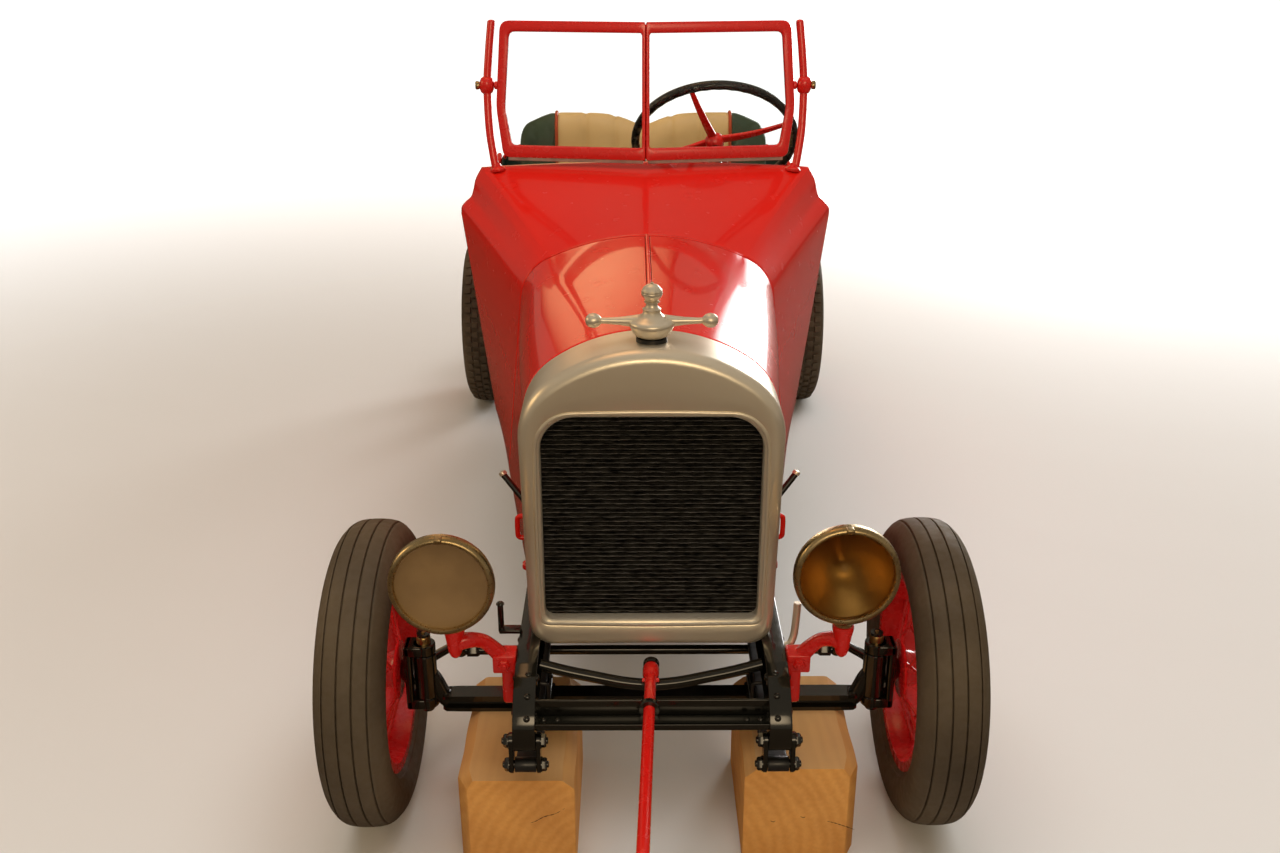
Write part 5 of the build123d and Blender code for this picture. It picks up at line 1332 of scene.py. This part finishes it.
# Lamp wires: a small black stand on the car's right-hand rail and a bent nickel tube on the
# left-hand one. Both show only in part in the photo, so their feet are a guess.
STAND_MIDDLE = np.array([-252.0, -84.0, 427.0])
stand = [slab(STAND_MIDDLE, (9.0, 12.0, 52.0), 2.0),
         slab(STAND_MIDDLE + [15.0, 0.0, -23.5], (36.0, 20.0, 7.0), 2.0),
         rivet(STAND_MIDDLE + [0.0, 0.0, 25.5], (0, 0, 1), 7.0, 5.0)]
piece("lamp_wire_stand", stand, black_enamel, "chassis")
tube = flowing([(219.0, -112.0, 386.0), (232.0, -111.0, 392.0), (239.0, -106.0, 412.0),
                (243.0, -98.0, 462.0)], 24)
piece("lamp_wire_tube", [carried(tube, round_outline(6.5, 16))], nickel, "chassis")

# Wire wheels: rolled steel rims laced to small hubs with crossed spokes, all red enamel; each
# hub has a nickel cap. The front tyres are ribbed, the rear ones have rubber blocks.
TYRE_R = 269.0
SPOKES = 20
WHEELS = (("front_left", -1, 0.0, 487.0), ("front_right", 1, 0.0, 487.0),
          ("rear_left", -1, 2045.0, 506.0), ("rear_right", 1, 2045.0, 506.0))
wheel_red = finish("wheel_red", (0.62, 0.009, 0.010), (0.70, 0.013, 0.013), (0.22, 0.32), scale=4.0,
                   grain=60.0, bump=0.0, coat=0.4)
RIM = [(164, -42), (180, -42), (181, -40), (180, -38), (172, -36), (168, -33), (166, -25),
       (163, -12), (161.5, 0)]
RIM += [(r, -z) for r, z in RIM[-2::-1]]
RIM += [(163.4, 40), (163.2, 34), (160.5, 24), (157.5, 12), (156.5, 0), (157.5, -12), (160.5, -24),
        (163.2, -34), (163.4, -40), (164, -42)]
HUB = [(0, -43), (30, -43), (36, -42), (50, -42), (52, -41), (52, -37), (50, -36), (38, -35), (34, -30),
       (31, -14), (30, 0), (31, 16), (34, 30), (40, 34), (42, 36), (42, 40), (40, 42), (34, 43),
       (29, 44), (28, 48), (27, 50), (0, 50)]
HUB_CAP = [(0, 43), (27, 44), (27.4, 50), (27.2, 66), (26, 70), (23, 74), (19, 76.5), (19, 77.8),
           (15, 78), (0, 78)]
rubber = finish("tyre_rubber", (0.050, 0.033, 0.017), (0.108, 0.076, 0.042), (0.6, 0.85), scale=5.0,
                grain=70.0, bump=0.3, depth=0.001)
WALL = [(171, 34), (181, 42.5), (187, 46.5), (188, 49), (191, 49.5), (202, 54.5), (214, 57.0),
        (228, 57.2), (238, 55.6), (245, 52.8), (251, 48.9)]
GROOVES = (-36.0, -12.0, 12.0, 36.0)
CROWN = ((0, 8, 16, 24, 30, 36, 40, 44), (268.9, 268.8, 268.3, 267.3, 265.9, 263.2, 260.4, 256.8))


def crown(z):
    """Radius of the ribbed tread's surface at a distance z from its middle, read from CROWN."""
    return float(np.interp(abs(z), *CROWN))


ribbed = []
for z in GROOVES:
    ribbed += [(crown(z - 9), z - 9), (crown(z - 5), z - 5), (crown(z - 2.0), z - 2.0),
               (crown(z) - 1.2, z - 1.2), (crown(z) - 5.5, z - 1.0), (crown(z) - 5.5, z + 1.0),
               (crown(z) - 1.2, z + 1.2), (crown(z + 2.0), z + 2.0), (crown(z + 5), z + 5)]
ribbed = [(r, z) for r, z in ribbed if abs(z) < 43.0]
RIBBED = [(r, -z) for r, z in WALL] + ribbed + [(r, z) for r, z in WALL[::-1]]
BARE = [(256, 44), (259, 36), (261.2, 20), (261.8, 0)]
LUGGED = [(r, -z) for r, z in WALL + BARE] + [(r, z) for r, z in (WALL + BARE[:-1])[::-1]]
LUG_ROWS = ((-33.0, 20.0, 0.0), (-11.2, 17.0, 0.5), (11.2, 17.0, 0.0), (33.0, 20.0, 0.5))
LUG_COUNT = 54


def spoke_set(centre, way):
    """Crossed spokes: rod k runs from a hub flange at angle a + lean to the rim at angle a."""
    rods = []
    for k in range(SPOKES):
        a = 2 * math.pi * k / SPOKES
        inner = k % 2
        b = a + math.radians(26.0) * (1 if (k // 2) % 2 else -1)
        foot_r, foot_z = (47.0, -39.0) if inner else (38.0, 38.0)
        start = np.array([foot_z * way, foot_r * math.cos(b), foot_r * math.sin(b)])
        end = np.array([way * (-3.0 if inner else 3.0), 159.0 * math.cos(a), 159.0 * math.sin(a)])
        reach = np.linalg.norm(end - start)
        rod = [(0, -2), (3.7, -2), (3.4, 1.5), (2.8, 5), (2.8, reach - 16), (3.6, reach - 14),
               (3.6, reach + 2), (0, reach + 2)]
        rods.append(turned(rod, np.asarray(centre) + start, end - start, 8))
    return rods


def lugs(centre, way):
    """Four rows of rubber blocks round a tyre, the outer rows tipped down over the shoulder."""
    blocks = []
    for k in range(LUG_COUNT):
        for across, width, shift in LUG_ROWS:
            a = 2 * math.pi * (k + shift) / LUG_COUNT
            out = np.array([0.0, math.cos(a), math.sin(a)])
            outer = abs(across) > 20
            tip = math.radians(20.0) * np.sign(across) * outer * way
            up = out * math.cos(tip) + np.array([1.0, 0.0, 0.0]) * math.sin(tip)
            along = np.cross([1.0, 0.0, 0.0], out)
            axes = np.array([np.cross(along, up), along, up])
            rise = 259.4 if outer else 263.4
            blocks.append(slab(np.asarray(centre) + out * rise + [way * across, 0, 0],
                               (width, 18.0, 10.0), 1.8, axes))
    return blocks


for label, way, station, track in WHEELS:
    centre = (way * track, station, TYRE_R)
    body = "road_wheel_" + label
    laced = [turned(RIM, centre, (way, 0, 0), 96), turned(HUB, centre, (way, 0, 0), 40)]
    piece("laced_" + label, laced + spoke_set(centre, way), wheel_red, body,
          ["wheel_" + label])
    piece("hub_cap_" + label, [turned(HUB_CAP, centre, (way, 0, 0), 40)], nickel, body)
    front = label.startswith("front")
    outline = RIBBED if front else LUGGED
    cover = [turned(outline + outline[:1], centre, (way, 0, 0), 160)]
    piece("tread_" + label, cover + ([] if front else lugs(centre, way)), rubber, body,
          ["tyre_" + label], 30.0)

# Starting handle and engine: a red forged crank with a round head, a cross pin and a turned
# black grip, which runs in the ring and the boss on the frame. Behind the radiator stands the
# iron engine block.
shaft = [on_crank(-13.0), on_crank(60.0), on_crank(200.0), on_crank(340.0), on_crank(440.0)]
bend = [on_crank(455.0, 3.0), on_crank(461.5, 14.0), on_crank(462.0, 40.0), on_crank(462.0, 90.0),
        on_crank(462.0, 140.0), on_crank(464.0, 168.0), on_crank(472.0, 178.0), on_crank(490.0, 180.0)]
crank_bar = [carried(flowing(shaft + bend, 140), round_outline(9.5, 18)),
             turned([(0, -3), (9, -2.5), (12.5, 0), (14, 5), (13.6, 22), (11, 30), (0, 31)],
                    CRANK_FOOT, CRANK_WAY, 28),
             turned([(0, 26), (3.4, 26), (3.4, 54), (0, 54)], on_crank(36.0) - [40.0, 0, 0], (1, 0, 0), 12)]
piece("crank_bar", crank_bar, red_enamel, "handle", ["starting_handle"])
grip = [(0, 470), (11, 470), (13.5, 473), (14.6, 480), (15, 500), (14.8, 520), (13.6, 532), (11, 538),
        (6, 541), (0, 541.4)]
piece("crank_grip", [turned(grip, on_crank(0.0, 180.0), CRANK_WAY, 32)], rim_black, "handle")
iron = finish("engine_iron", (0.05, 0.05, 0.05), (0.12, 0.115, 0.11), (0.5, 0.7), metallic=0.6,
              grain=80.0, bump=0.4)
dress(iron, "engine_block")
